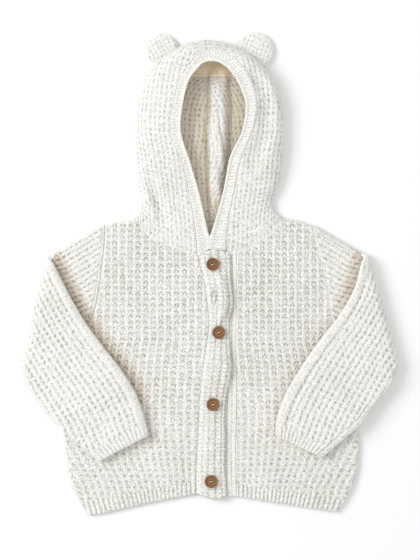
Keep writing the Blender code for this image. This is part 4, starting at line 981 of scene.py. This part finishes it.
# %% Sleeves
def sleeve(side, armhole, elbow, forearm, turn, folds, cords, roll, middle_columns=92):
    over, under, thick, turned, keep, outward, seam, fold_line = sleeve_rings(
        armhole, elbow, forearm, turn)
    ends = np.stack([seam(np.zeros(1))[0], seam(np.ones(1))[0]])

    def plan_of(rows, across):
        plan = over[rows, None] + (under - over)[rows, None] * across[..., None]
        bend = seam(1.0 - across) - straight(ends, 1.0 - across)
        return plan + keep[rows, None, None] * bend

    def place(rows, across, up):
        plan = plan_of(rows, across)
        reach, angle = TURN_HEIGHT - up, turned[rows, None]
        plan = plan + outward * (reach * np.sin(angle))[..., None]
        return with_z(plan, TURN_HEIGHT - reach * np.cos(angle))

    rows = np.arange(len(over))
    width = np.linalg.norm(under - over, axis=1)[:, None]
    curl = edge_steps(EDGE_RADIUS, 5)[None, :] + 0.0 * width
    even = EDGE_RADIUS + (width - 2 * EDGE_RADIUS) * np.linspace(0, 1, middle_columns)[None, 1:-1]
    upper = side_by_side(curl, even, width - curl[:, ::-1])
    across = side_by_side(upper, upper[:, -2:0:-1])
    below = np.arange(across.shape[1])[None, :] >= upper.shape[1]
    to_edge = np.minimum(across, width - across)
    flat = opened_out(plan_of(rows, across / width), turned[:, None], outward, fold_line)
    travel = np.concatenate([[0.0], np.cumsum(np.linalg.norm(np.diff(flat[:, 0], axis=0), axis=1))])
    from_cuff = (travel[-1] - travel)[:, None]
    half = 0.5 * thick[:, None] * rounded(to_edge, EDGE_RADIUS)
    half = half * (0.80 + 0.20 * rounded(from_cuff, 2.2))
    up = 0.5 * thick[:, None] + np.where(below, -half, half)
    base = place(rows, across / width, up)
    on_top = (turned[:, None] > 3.1) * below
    base[..., 2] += folded_by(base[..., :2], folds) * on_top * ease(to_edge, 0.0, 12.0)
    rolls = np.exp(-((across - 5.5) / 3.0) ** 2) - 1.2 * np.exp(-((across - 13.5) / 3.0) ** 2)
    base[..., 2] += roll * rolls * on_top * ease(from_cuff, 8.0, 30.0)

    u, v = sleeve_cells(flat, below)
    in_cuff = ease(from_cuff, 17.5, 14.0)
    knit = (eyelets(u, v, 0.35, (0.19, 0.30), 0.24) * (1.0 - in_cuff)
            + ribs(across / width * CUFF_RIBS, v) * in_cuff)
    rolled = 0.55 * ease(across, 12.0, 4.0) * below * (1.0 - in_cuff)     # smoother at the fold
    knit = knit + (0.92 - knit) * rolled
    strong = (0.4 + 0.6 * ease(travel[:, None], 0.0, 1.5)) * ease(from_cuff, 0.0, 1.4)
    strong = strong * (ease(width - across, 0.2, 2.4) * 0.8 + 0.2)
    strong = strong * np.where(below, 1.0, 1.0 - np.sin(turned[:, None]))
    for where, first, last, lines in cords:
        distance = {"over": across, "under": width - across, "armhole": travel[:, None]}[where]
        near = ease(distance, lines[-1] + 3.0, lines[-1] + 1.6)
        near = near * ease(travel[:, None], first - 3.0, first)
        near = near * ease(travel[:, None], last + 3.0, last)
        raised = 0.8 * sum(cord_over(distance, middle, 1.9) for middle in lines) + 0.0 * across
        knit, strong = knit + (raised - knit) * near, np.maximum(strong, near)
    rests = below * (1.0 - ease(turned[:, None], 0.3, 1.2))
    normal = normals_of(base, 1.0, ring=True)
    normal *= np.sign(normal[20, upper.shape[1] // 2, 2])
    outer = relieved(base, normal, (knit - 0.25 - 0.75 * rests) * RELIEF * strong, 0.03)

    back_rows = np.linspace(len(rows) - 1, 0, 12).astype(int)
    in_across = 2.4 + (width - 4.8) * (across / width)
    in_edge = np.minimum(in_across, width - in_across) - 2.2
    in_half = (0.5 * thick[:, None] - 2.2) * rounded(in_edge, 2.0)
    in_up = 0.5 * thick[:, None] + np.where(below, -in_half, in_half)
    inner = place(back_rows, (in_across / width)[back_rows], in_up[back_rows])
    points = np.concatenate([outer, inner])
    cells = np.stack([u, v], axis=2)
    cells = np.concatenate([cells, cells[back_rows]])
    # Painted shade: darker pits, and a warm painted shade on the tube's inner face and on the flat upper
    # arm beside the forearm's edge, weaker on the left sleeve.
    pit = np.concatenate([(1.0 - knit) * strong, np.full(inner.shape[:2], 0.7)])
    flat_part = (turned[:, None] < 0.01) & ~below
    dim = 1.0 if turn > 0 else 0.3 + 0.5 * ease(base[..., 1], -50.0, -15.0)
    shade = dim * beside(base[..., :2], over[-FOREARM_ROWS::4], SHADE_REACH) * flat_part
    inside = np.concatenate([shade, np.ones(inner.shape[:2])])
    pit[:len(shade)] += 0.35 * shade
    piece = lay_cloth(f"sleeve_{side}", points, cells, pit, IVORY_KNIT, inside,
                      closed_rows=True)
    declare(piece, (256.0, 280.0), area_of(base, ring=True))


sleeve("right", ARMHOLE_R, ELBOW_R, FOREARM_R, 1, ARM_FOLDS_R,
       (("armhole", 0.0, 4.0, (2.0,)),), 0.3)
sleeve("left", ARMHOLE_L, ELBOW_L, FOREARM_L, -1, ARM_FOLDS_L,
       (("over", 4.0, 52.0, (1.7, 5.0)), ("under", 190.0, 400.0, (1.7, 5.0))), 0.8)

# %% [markdown]
# ## The hood
# Each half goes from the face band over the side of the head, down at the
# outline and under to the seam at the back of the head. A table holds a row
# for each section, from neck to crown. The stitch is finer than the body's:
# small slanting eyelets in columns that stand nearly upright. The inside of the
# back shows through the opening, so it has eyelets too. It gets a warmer painted
# shade the deeper it lies, and the crown above the seam inside is plain and
# gets a painted warm light.

# %% Tables and folds of the hood
HOOD_CELL = (5.35, 6.8)
HOOD_RELIEF = 1.1
HOOD_HEIGHT = 245.0              # from the neck to the crown
CROWN_SEAM = 218.5               # how far up the seam inside it lies
UPRIGHT = 0.6                    # share of the band's lean that the columns don't follow
HOOD_COLUMNS = ("edge_x", "edge_y", "rim_x", "rim_y", "out_x", "out_y", "spine_x",
                "spine_y", "rise", "round", "side", "bow", "fold", "crest")
HOOD_R = (
    (-12.7, 19.3, -0.7, 27.6, -79.8, 60.6, -0.6, 58.0, 6.8, 5.0, 4.6, 1.0, 0.3, 20.0),
    (-14.6, 38.0, -0.8, 41.0, -76.0, 70.5, -1.2, 66.0, 8.5, 8.0, 4.8, 0.5, 0.8, 20.0),
    (-17.0, 60.0, -5.0, 62.0, -75.2, 83.5, -2.2, 79.0, 11.5, 15.0, 4.4, 0.1, 1.5, 22.0),
    (-22.5, 89.0, -11.8, 91.0, -78.1, 106.0, -3.3, 98.0, 15.0, 22.0, 5.2, 0.0, 2.5, 24.0),
    (-29.8, 122.2, -20.9, 122.2, -80.6, 131.0, -2.8, 125.5, 19.0, 28.0, 5.8, 0.0, 3.5, 26.0),
    (-42.4, 155.0, -31.0, 156.0, -80.5, 160.7, -3.4, 156.3, 22.0, 30.0, 6.0, 0.0, 4.0, 28.0),
    (-39.1, 187.1, -28.6, 187.1, -78.1, 190.4, -1.8, 182.7, 24.5, 30.0, 6.0, 0.0, 3.0, 26.0),
    (-31.4, 213.5, -22.0, 211.5, -69.9, 215.7, -2.4, 204.7, 26.0, 26.0, 6.0, 0.0, 2.0, 22.0),
    (-18.9, 232.2, -13.0, 223.6, -52.3, 237.7, -3.0, 217.9, 27.0, 20.0, 6.0, 0.0, 1.0, 18.0),
    (-10.5, 240.2, -7.0, 229.4, -28.1, 251.5, -2.8, 221.5, 27.5, 14.0, 6.0, 0.0, 0.5, 14.0),
    (-1.7, 243.2, 0.1, 231.6, -3.9, 257.5, -2.8, 224.5, 27.5, 13.0, 6.0, 0.0, 0.3, 12.0),
)
HOOD_L = (
    (18.2, 25.8, 0.3, 27.6, 79.5, 61.5, -0.6, 58.0, 6.8, 5.0, 4.6, 1.0, 0.3, 6.0),
    (19.8, 43.0, 1.2, 42.0, 70.5, 69.5, -1.2, 66.0, 8.5, 8.0, 4.8, 0.5, 1.5, 8.0),
    (21.8, 63.0, 6.9, 61.5, 68.5, 80.0, -2.2, 79.0, 11.5, 15.0, 4.4, 0.1, 4.0, 10.0),
    (28.1, 93.6, 15.4, 92.5, 75.5, 98.0, -3.3, 98.0, 15.5, 20.0, 5.2, 0.0, 7.5, 9.0),
    (34.9, 126.6, 22.3, 127.7, 80.9, 126.5, -2.8, 125.5, 20.0, 24.0, 5.8, 0.0, 10.0, 12.0),
    (47.5, 157.5, 35.6, 156.5, 81.4, 158.5, -3.4, 156.3, 24.0, 24.0, 6.0, 0.0, 10.5, 13.5),
    (51.7, 187.1, 39.0, 185.2, 78.7, 187.1, -1.8, 182.7, 27.0, 22.0, 6.0, 0.0, 10.0, 13.0),
    (42.4, 216.8, 29.8, 210.2, 67.3, 216.5, -2.4, 204.7, 28.5, 20.0, 6.0, 0.0, 6.5, 13.0),
    (25.7, 237.0, 17.6, 225.6, 42.5, 242.0, -3.0, 217.9, 28.5, 14.0, 6.0, 0.0, 3.0, 18.0),
    (12.7, 242.4, 9.2, 230.5, 19.2, 252.8, -2.8, 221.5, 28.0, 12.0, 6.0, 0.0, 0.8, 14.0),
    (-1.7, 243.2, 0.1, 231.6, -3.9, 257.5, -2.8, 224.5, 27.5, 13.0, 6.0, 0.0, 0.3, 12.0),
)
HOOD_FOLDS_R = (
    ((-65.5, 104.0), (-50.0, 64.0), 6.0, -6.5),
    ((-74.0, 96.0), (-60.0, 60.0), 5.0, 0.8),
    ((-56.0, 104.0), (-42.0, 72.0), 5.0, 0.7),
)
HOOD_FOLDS_L = (
    ((46.0, 118.0), (63.0, 158.0), 9.0, -4.0),
    ((63.0, 158.0), (62.0, 196.0), 10.0, -7.5),
    ((62.0, 196.0), (44.0, 226.0), 8.0, -6.0),
    ((30.0, 100.0), (56.0, 74.0), 7.0, 0.7),
)
print("hood:", len(HOOD_R), "sections a half, stitch", HOOD_CELL, "mm")


# %% The surface of a hood half
def hood_at(table, at):
    values = smooth(table, at)
    return {column: values[..., k] for k, column in enumerate(HOOD_COLUMNS)}


def pair(row, name):
    return np.stack([row[name + "_x"], row[name + "_y"]], axis=-1)


def hood_base(row, neck, turn, folds, rows):
    """The half's surface: the side of the head, the rounded outline, then the back below."""
    edge, out, spine = pair(row, "edge"), pair(row, "out"), pair(row, "spine")
    column = {name: row[name][:, None] for name in ("rise", "round", "side", "bow", "fold", "crest")}
    steps = np.concatenate([np.linspace(0.0, 0.84, 48),
                            1.0 - 0.16 * (1.0 - np.linspace(0, 1, 16)[1:]) ** 1.5])
    neck_run = moved_in(curve_of(neck), SEAM, turn)(1.0 - steps)
    chord = neck_run[0] + (neck_run[-1] - neck_run[0]) * steps[:, None]
    top = edge[:, None] + (out - edge)[:, None] * steps[:, None]
    top = top + column["bow"][..., None] * (neck_run - chord)
    from_out = (1.0 - steps) * np.linalg.norm(out - edge, axis=1)[:, None]
    top[:3, :, 1] -= np.array([1.0, 0.6, 0.2])[:, None]
    top_z = column["side"] + (column["rise"] - column["side"]) * rounded(from_out, column["round"])
    top_z = top_z + folded_by(top, folds) * ease(from_out, 0.0, 10.0)
    from_neck = np.linspace(0.0, HOOD_HEIGHT, rows)[:, None]
    top_z = 5.3 + (top_z - 5.3) * ease(from_neck, -1.0, 9.0)

    inward = (spine - out) / np.linalg.norm(spine - out, axis=1)[:, None]
    radius = 0.9 * column["side"]
    curl = np.radians(np.linspace(0.0, 90.0, 9)[1:])
    curl_plan = out[:, None] + inward[:, None] * (radius * (1.0 - np.cos(curl)))[..., None]
    curl_z = column["side"] * (1.0 - np.sin(curl))
    start, end = out + inward * radius, spine - inward * 1.5 * SEAM
    floor_steps = np.linspace(0.0, 1.0, 64)[1:]
    under = start[:, None] + (end - start)[:, None] * floor_steps[:, None]
    from_spine = np.linalg.norm(under - spine[:, None], axis=2)
    crease = 1.0 - ease(from_spine, column["crest"] + 2.0, column["crest"] + 14.0)
    under_z = column["fold"] * crease * (0.85 + 0.15 * uneven(0.25 * from_spine, 0.05 * under[..., 1]))
    under_z = under_z * (1.0 - np.exp(-(from_spine / 3.2) ** 2))
    under_z = under_z * (1 - np.exp(-(floor_steps / 0.15) ** 2))
    base = with_z(side_by_side(top, curl_plan, under), side_by_side(top_z, curl_z, under_z))
    return base, top.shape[1], top.shape[1] + len(curl), from_spine


# %% Hood halves
def hood_half(side, table, neck, turn, folds, rows=196):
    row = hood_at(table, np.linspace(0.0, 1.0, rows))
    base, first_curl, first_under, from_spine = hood_base(row, neck, turn, folds, rows)
    normal = normals_of(base, 1.0)
    normal *= np.sign(normal[rows // 2, 20, 2])
    normal[:, first_under:, :2] *= np.clip(from_spine / 9.0, 0.0, 1.0)[..., None]
    normal[-6:, :, :2] *= np.linspace(1.0, 0.2, 6)[:, None, None]

    run = np.cumsum(np.linalg.norm(np.diff(base, axis=1), axis=2), axis=1)
    run = side_by_side(np.zeros((rows, 1)), run)
    edge_x = np.abs(row["edge_x"])[:, None]
    length = 0.5 * (length_of(pair(row, "edge")) + length_of(pair(row, "out")))
    travel = np.linspace(0.0, length, rows)[:, None] + 0.0 * run
    upright = UPRIGHT * np.maximum(edge_x - edge_x[0], 0.0)
    u, v = (run + upright) / HOOD_CELL[0], travel / HOOD_CELL[1]
    knit = eyelets(u, v, 0.25, (0.20, 0.29), 0.16)
    strong = ease(run, 0.2, 2.0) * (0.6 + 0.4 * ease(travel, 0.0, 2.0))
    strong = strong * (0.8 + 0.2 * ease(length - travel, 0.0, 2.0))
    strong[:, first_under:] *= ease(from_spine, 0.4, 2.0)
    rests = ease(np.arange(base.shape[1]), first_curl, first_under)[None, :]
    outer = relieved(base, normal, (knit - 0.4 - 0.6 * rests) * HOOD_RELIEF * strong, 0.03)

    keep = np.concatenate([np.arange(base.shape[1] - 1, first_under - 1, -1),
                           np.arange(first_under - 2, -1, -5)])
    crown = ease(base[..., 1], CROWN_SEAM - 2.0, CROWN_SEAM - 0.5)
    seam = np.exp(-((base[..., 1] - CROWN_SEAM) / 1.3) ** 2)
    within = np.maximum(knit * (1.0 - crown), seam)[:, keep]
    inner = relieved(base[:, keep], normal[:, keep], -(1.6 + 1.0 * within * strong[:, keep]), 0.6)
    cells = np.stack([u, v], axis=2)
    # Painted shade in the pits, outside and inside; none on the plain crown.
    pit = side_by_side((1.0 - knit) * strong, (1.0 - within) * (1.0 - 0.95 * crown[:, keep]))
    # Warm painted shade inside, stronger the deeper it lies; 2 at the crown gives its painted warm light.
    depth = ease(inner[..., 2], 9.0, 5.5)
    depth += (2.0 - depth) * crown[:, keep]
    depth[:, keep < first_under] = 1.0
    inside = side_by_side(np.zeros(base.shape[:2]), depth)
    piece = lay_cloth(f"hood_{side}", side_by_side(outer, inner), side_by_side(cells, cells[:, keep]),
                      pit, IVORY_KNIT, inside, split=base.shape[1])
    declare(piece, (165.0, 245.0), area_of(base))


hood_half("right", HOOD_R, NECK_R, 1, HOOD_FOLDS_R)
hood_half("left", HOOD_L, NECK_L, -1, HOOD_FOLDS_L)

# %% [markdown]
# ## The face band
# The band is knitted double and sewn round the opening. Its ribs run across
# it, so they fan out round the crown, and its inner edge rolls. One closed
# profile is carried along both edges of the opening, with six rows to a rib.

# %% Face band
BAND_PROFILE = (
    # share of the way to the rim, height above the sewn edge
    (0.0, -1.6), (0.0, -0.5), (0.06, 0.4), (0.16, 0.75), (0.3, 0.3), (0.45, 0.0), (0.6, -0.1),
    (0.70, -0.1), (0.78, 0.5), (0.86, 1.1), (0.94, 1.1), (0.99, 0.4), (1.01, -0.5), (1.0, -1.6),
    (0.96, -2.7), (0.85, -3.3), (0.5, -3.5), (0.12, -3.5), (0.02, -2.7),
)
FACE_RIBS = 144
ROWS_A_RIB = 6


def face_band():
    def half(table):
        row = hood_at(table, np.linspace(0.0, 1.0, FACE_RIBS * ROWS_A_RIB // 2 + 1))
        return pair(row, "edge"), pair(row, "rim"), row["rise"]

    edge, rim, rise = (np.concatenate([right, left[-2::-1]])
                       for right, left in zip(half(HOOD_R), half(HOOD_L)))
    toward = (rim - edge) / np.linalg.norm(rim - edge, axis=1)[:, None]
    edge = edge + toward * SEAM
    rim = rim + toward * 1.3 * ease(rim[:, 1], 48.0, 38.0)[:, None]
    profile = np.asarray(BAND_PROFILE)
    fine = np.linspace(0.0, 1.0, 33)[:-1] * (len(profile) - 1)
    share = np.interp(fine, np.arange(len(profile)), profile[:, 0])
    lift = np.interp(fine, np.arange(len(profile)), profile[:, 1])
    plan = edge[:, None] + (rim - edge)[:, None] * share[:, None]
    base = with_z(plan, rise[:, None] + lift)
    on_top = ease(lift, -1.5, -0.2) * ease(share, 0.0, 0.12)
    on_top = on_top * (1.0 - 0.75 * ease(share, 0.72, 0.86))
    v = (np.arange(len(edge)) / ROWS_A_RIB)[:, None] + 0.0 * share
    knit = ribs(v, 4.0 * share + 0.0 * v)
    plain_area = 0.5 * area_of(base, ring=True)
    base[..., 2] += 0.7 * (knit - 0.4) * on_top
    cells = np.stack([v, share * 3.0 + 0.0 * v], axis=2)
    # Painted shade between the ribs, and a warm painted shade on the band's underside.
    pit = (1.0 - knit) * on_top * 0.45
    inside = np.broadcast_to(ease(lift, -1.6, -3.0), pit.shape).copy()
    piece = lay_cloth("hood_band", base, cells, pit, IVORY_RIB, inside,
                      split=base.shape[1] // 2)
    declare(piece, (19.0, 500.0), plain_area)


face_band()
print("face band:", FACE_RIBS, "ribs")

# %% [markdown]
# ## The ears
# Two round double-knit pads, each with its root along the hood's outline and
# its rim on a circle. The same rows run from root to rim on both sides.

# %% Ears
EAR_R = (-53.0, 247.6, 17.3)     # centre and radius
EAR_L = (50.8, 246.0, 19.8)
EAR_CELL = (4.4, 5.2)
EAR_MEETS = 3.4                  # height at which an ear's two sides meet


def ear(side, circle, table, turn, slant, columns=54, rows=38):
    centre, radius = np.array(circle[:2]), circle[2]
    at = np.linspace(0.0, 1.0, 2001)
    outline = pair(hood_at(table, at), "out")
    within = at[np.linalg.norm(outline - centre, axis=1) < radius]
    root_at = np.linspace(within[0], within[-1], columns)
    root = moved_in(lambda place: pair(hood_at(table, place), "out"), 2.0 * SEAM, turn)(root_at)
    lean = np.arctan2(root[:, 1] - centre[1], root[:, 0] - centre[0])
    first, last = lean[0], lean[-1]
    sweep = (first - last) % (2 * math.pi) if turn > 0 else (last - first) % (2 * math.pi)
    angles = first - turn * np.linspace(0.10, sweep - 0.10, columns)
    arc = centre + radius * np.stack([np.cos(angles), np.sin(angles)], axis=-1)
    share = np.linspace(0.0, 1.0, rows)[:, None]
    share = 1.0 - (1.0 - share) ** 1.25
    plan = root[None] + (arc - root)[None] * share[..., None]
    place = np.arange(columns) * 12.0 / (columns - 1)
    sides = rounded(np.minimum(place, 12.0 - place) * 2.2 + 0.2, 4.0)
    swell = np.sqrt(1.0 - share ** 3) * sides[None, :]
    turned = plan - centre
    u = (turned[..., 0] * math.cos(slant) + turned[..., 1] * math.sin(slant)) / EAR_CELL[0]
    v = (-turned[..., 0] * math.sin(slant) + turned[..., 1] * math.cos(slant)) / EAR_CELL[1]
    knit = eyelets(u, v)
    strong = ease(swell, 0.15, 0.75)
    top = with_z(plan, 3.7 + 3.2 * swell + 0.9 * (knit - 0.3) * strong)
    low = with_z(plan, 3.1 - 2.3 * swell - 0.5 * (knit - 0.4) * strong)
    for grid in (top, low):      # both sides meet along the root, the rim and the two ends
        grid[0, :, 2] = grid[-1, :, 2] = grid[:, 0, 2] = grid[:, -1, 2] = EAR_MEETS
    # Painted shade in the eyelets.
    cells, pit = np.stack([u, v], axis=2), (1.0 - knit) * strong
    points, cells, pit = (side_by_side(above, below[:, ::-1])
                          for above, below in ((top, low), (cells, cells), (pit, pit)))
    piece = lay_cloth(f"ear_{side}", points, cells, pit, IVORY_KNIT)
    size = 2.0 * radius
    declare(piece, (size, size), area_of(with_z(plan, 3.2 * swell)))


ear("right", EAR_R, HOOD_R, 1, 0.45)
ear("left", EAR_L, HOOD_L, -1, -0.35)

# %% [markdown]
# ## The buttons
# Each one is turned wood, 14 mm across, with a raised rim, a dished middle and
# two holes. It starts as a cylinder. Insetting the top face makes the rim and
# the dish, a bevel softens the edges, and two Boolean cuts drill the holes.
# A loop of thread goes through them. A UV map, `turned`, is laid on the disc
# while it still stands at the origin, because the wood's rings are drawn round
# each button's own centre.

# %% Button sizes and wood
BUTTON_RADIUS, BUTTON_THICK = 7.0, 2.8
BUTTON_SEAT = 10.15              # where the upper band's ribs carry a button
BUTTON_SPIN = 0.4                # how far each is turned in its own plane, in radians
RIM_WIDTH, DISH_SLOPE, DISH_DEPTH = 1.5, 0.7, 1.0
HOLE_RADIUS, HOLE_OUT = 0.95, 1.4


def wood_finish():
    """Satin brown wood: fine grain, and concentric rings with painted shade in the groove inside the rim.
    """
    material, tree, shader = new_finish("brown_turned_wood")
    local = node_of(tree, "UVMap")
    local.uv_map = "turned"
    reach = node_of(tree, "VectorMath")
    reach.operation = "LENGTH"
    feed(tree, reach.inputs[0], local.outputs[0])
    stretch = node_of(tree, "Mapping", Scale=(2.2, 16.0, 1.0))
    feed(tree, stretch.inputs["Vector"], local.outputs[0])
    grain = noise(tree, stretch.outputs[0], Scale=1.6, Detail=6.0, Distortion=0.6)
    rings = node_of(tree, "ValToRGB")
    # How far out from the middle, and the colour there. The dark stop at 0.66, at
    # the foot of the rim, is painted shade in that groove.
    stops = ((0.0, (0.08, 0.035, 0.012)), (0.28, (0.12, 0.055, 0.020)),
             (0.40, (0.34, 0.18, 0.070)), (0.58, (0.32, 0.165, 0.062)),
             (0.66, (0.13, 0.060, 0.022)), (0.78, (0.36, 0.195, 0.080)),
             (1.0, (0.15, 0.072, 0.028)))
    ramp = rings.color_ramp
    for element, (_, colour) in zip(ramp.elements, (stops[0], stops[-1])):
        element.color = (*colour, 1.0)
    for position, colour in stops[1:-1]:
        ramp.elements.new(position).color = (*colour, 1.0)
    feed(tree, rings.inputs[0], reach.outputs["Value"])
    streak = mixed(tree, maths(tree, "MULTIPLY", grain, 0.55), rings.outputs[0],
                   (0.14, 0.055, 0.020, 1.0))
    surface(tree, shader, streak, (0.50, 0.72), grain, (0.3, 0.15), grain)
    return material


BROWN_WOOD = wood_finish()
print("wood:", BROWN_WOOD.name)


# %% A wooden disc and its thread
def select_only(*items):
    """Select these objects and no others, and make the first one active."""
    bpy.ops.object.select_all(action="DESELECT")
    for item in items:
        item.select_set(True)
    bpy.context.view_layer.objects.active = items[0]


def drilled(piece, side):
    """Cut one of the two holes with a Boolean."""
    bpy.ops.mesh.primitive_cylinder_add(vertices=24, radius=HOLE_RADIUS * MM, depth=8.0 * MM,
                                        location=(HOLE_OUT * MM * side, 0.0, 1.5 * MM))
    drill = bpy.context.object
    select_only(piece, drill)
    hole = piece.modifiers.new("hole", "BOOLEAN")
    hole.object, hole.operation = drill, "DIFFERENCE"
    bpy.ops.object.modifier_apply(modifier=hole.name)
    bpy.data.objects.remove(drill, do_unlink=True)


def wooden_disc(number):
    """A disc with a rim, a dished middle and two holes."""
    bpy.ops.mesh.primitive_cylinder_add(vertices=72, radius=BUTTON_RADIUS * MM,
                                        depth=BUTTON_THICK * MM,
                                        location=(0.0, 0.0, 0.5 * BUTTON_THICK * MM))
    piece = bpy.context.object
    piece.name = piece.data.name = f"button_{number}_wood"
    bpy.ops.object.transform_apply(location=True)
    mesh = piece.data
    bpy.context.tool_settings.mesh_select_mode = (False, False, True)
    for face in mesh.polygons:
        face.select = face.center.z > (BUTTON_THICK - 0.1) * MM
    bpy.ops.object.mode_set(mode="EDIT")
    bpy.ops.mesh.inset(thickness=RIM_WIDTH * MM, depth=0.0)
    bpy.ops.mesh.inset(thickness=DISH_SLOPE * MM, depth=-DISH_DEPTH * MM)
    bpy.ops.object.mode_set(mode="OBJECT")
    bevel = piece.modifiers.new("soft_edges", "BEVEL")
    bevel.width, bevel.segments = 0.55 * MM, 4
    bevel.limit_method, bevel.angle_limit = "ANGLE", math.radians(30.0)
    bpy.ops.object.modifier_apply(modifier=bevel.name)
    for side in (-1.0, 1.0):
        drilled(piece, side)
    layer = mesh.uv_layers.new(name="turned")
    for loop in mesh.loops:
        point = mesh.vertices[loop.vertex_index].co / (BUTTON_RADIUS * MM)
        layer.data[loop.index].uv = (point.x, point.y)
    mesh.materials.clear()
    mesh.materials.append(BROWN_WOOD)
    return piece


def thread_loop(number):
    """The thread through the two holes."""
    bpy.ops.mesh.primitive_torus_add(major_radius=HOLE_OUT * MM, minor_radius=0.45 * MM,
                                     major_segments=28, minor_segments=10,
                                     location=(0.0, 0.0, 0.9 * MM),
                                     rotation=(0.5 * math.pi, 0.0, 0.0))
    thread = bpy.context.object
    thread.name = thread.data.name = f"button_{number}_thread"
    bpy.ops.object.transform_apply(location=True, rotation=True)
    thread.data.uv_layers[0].name = "cells"
    for label in ("pit", "inside"):
        thread.data.attributes.new(label, "FLOAT", "POINT")
    thread.data.materials.append(IVORY_RIB)
    return thread


# %% Buttons in their places
def turned_button(number, x, y, tilt_x, tilt_y):
    lean = math.sin(math.radians(max(abs(tilt_x), abs(tilt_y))))
    place = Vector(((x + SHIFT[0]) * MM, (y + SHIFT[1]) * MM,
                    (BUTTON_SEAT + BUTTON_RADIUS * lean * 1.05) * MM))
    for made, slot in ((wooden_disc(number), "brown_wood"), (thread_loop(number), "ivory_rib")):
        select_only(made)
        made.location = place
        made.rotation_euler = Euler((math.radians(tilt_x), math.radians(tilt_y), BUTTON_SPIN))
        bpy.ops.object.transform_apply(location=True, rotation=True)
        bpy.ops.object.shade_smooth_by_angle(angle=math.radians(35.0))
        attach(made, "root")
        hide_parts(f"button_{number}")


for number, button in enumerate(BUTTONS, start=1):
    turned_button(number, *button)
print("buttons:", len(BUTTONS))

# %% [markdown]
# ## Floor, light and camera
# The garment lies on a pale floor. A large soft light on the left gives the low
# shadows that show the knitting. A weaker one opposite and a bright world keep
# them pale. The camera looks straight down from two metres, with a long lens.

# %% Floor
FLOOR_DROP = 0.2
bpy.ops.mesh.primitive_plane_add(size=6.0, location=(0.0, 0.0, -FLOOR_DROP * MM))
floor = bpy.context.object
floor.name = "floor"
paper, _, paper_shader = new_finish("floor_white")
paper_shader.inputs["Base Color"].default_value = (0.905, 0.917, 0.940, 1.0)
paper_shader.inputs["Roughness"].default_value = 0.95
floor.data.materials.append(paper)
print("floor:", FLOOR_DROP, "mm below the cloth")


# %% Lights and camera
def soft_light(name, location, size, power):
    light = bpy.data.lights.new(name, "AREA")
    light.shape, light.size, light.energy = "SQUARE", size, power
    lamp = bpy.data.objects.new(name, light)
    lamp.location = location
    lamp.rotation_euler = (-Vector(location)).to_track_quat("-Z", "Y").to_euler()
    bpy.context.scene.collection.objects.link(lamp)


soft_light("key", (-1.75, 0.55, 1.65), 1.2, 35.5)
soft_light("fill", (1.0, -0.4, 2.4), 2.2, 12.0)
world = bpy.data.worlds.new("studio")
world.use_nodes = True
sky = world.node_tree.nodes["Background"]
sky.inputs["Color"].default_value = (1.0, 0.982, 0.945, 1.0)
sky.inputs["Strength"].default_value = 0.65
bpy.context.scene.world = world
bpy.context.scene.view_settings.view_transform = "Standard"

CAMERA_HEIGHT = 2.058            # in metres
lens = bpy.data.cameras.new("camera")
lens.sensor_width, lens.lens = 36.0, 120.0
camera = bpy.data.objects.new("camera", lens)
camera.location = (0.32 * MM, -6.65 * MM, CAMERA_HEIGHT)
bpy.context.scene.collection.objects.link(camera)
bpy.context.scene.camera = camera
print("camera:", lens.lens, "mm lens,", CAMERA_HEIGHT, "m above the floor")

# %% Sizes, and the end
bpy.context.view_layer.update()
print("triangles:", sum(len(piece.data.loops) - 2 * len(piece.data.polygons) for piece in PIECES))
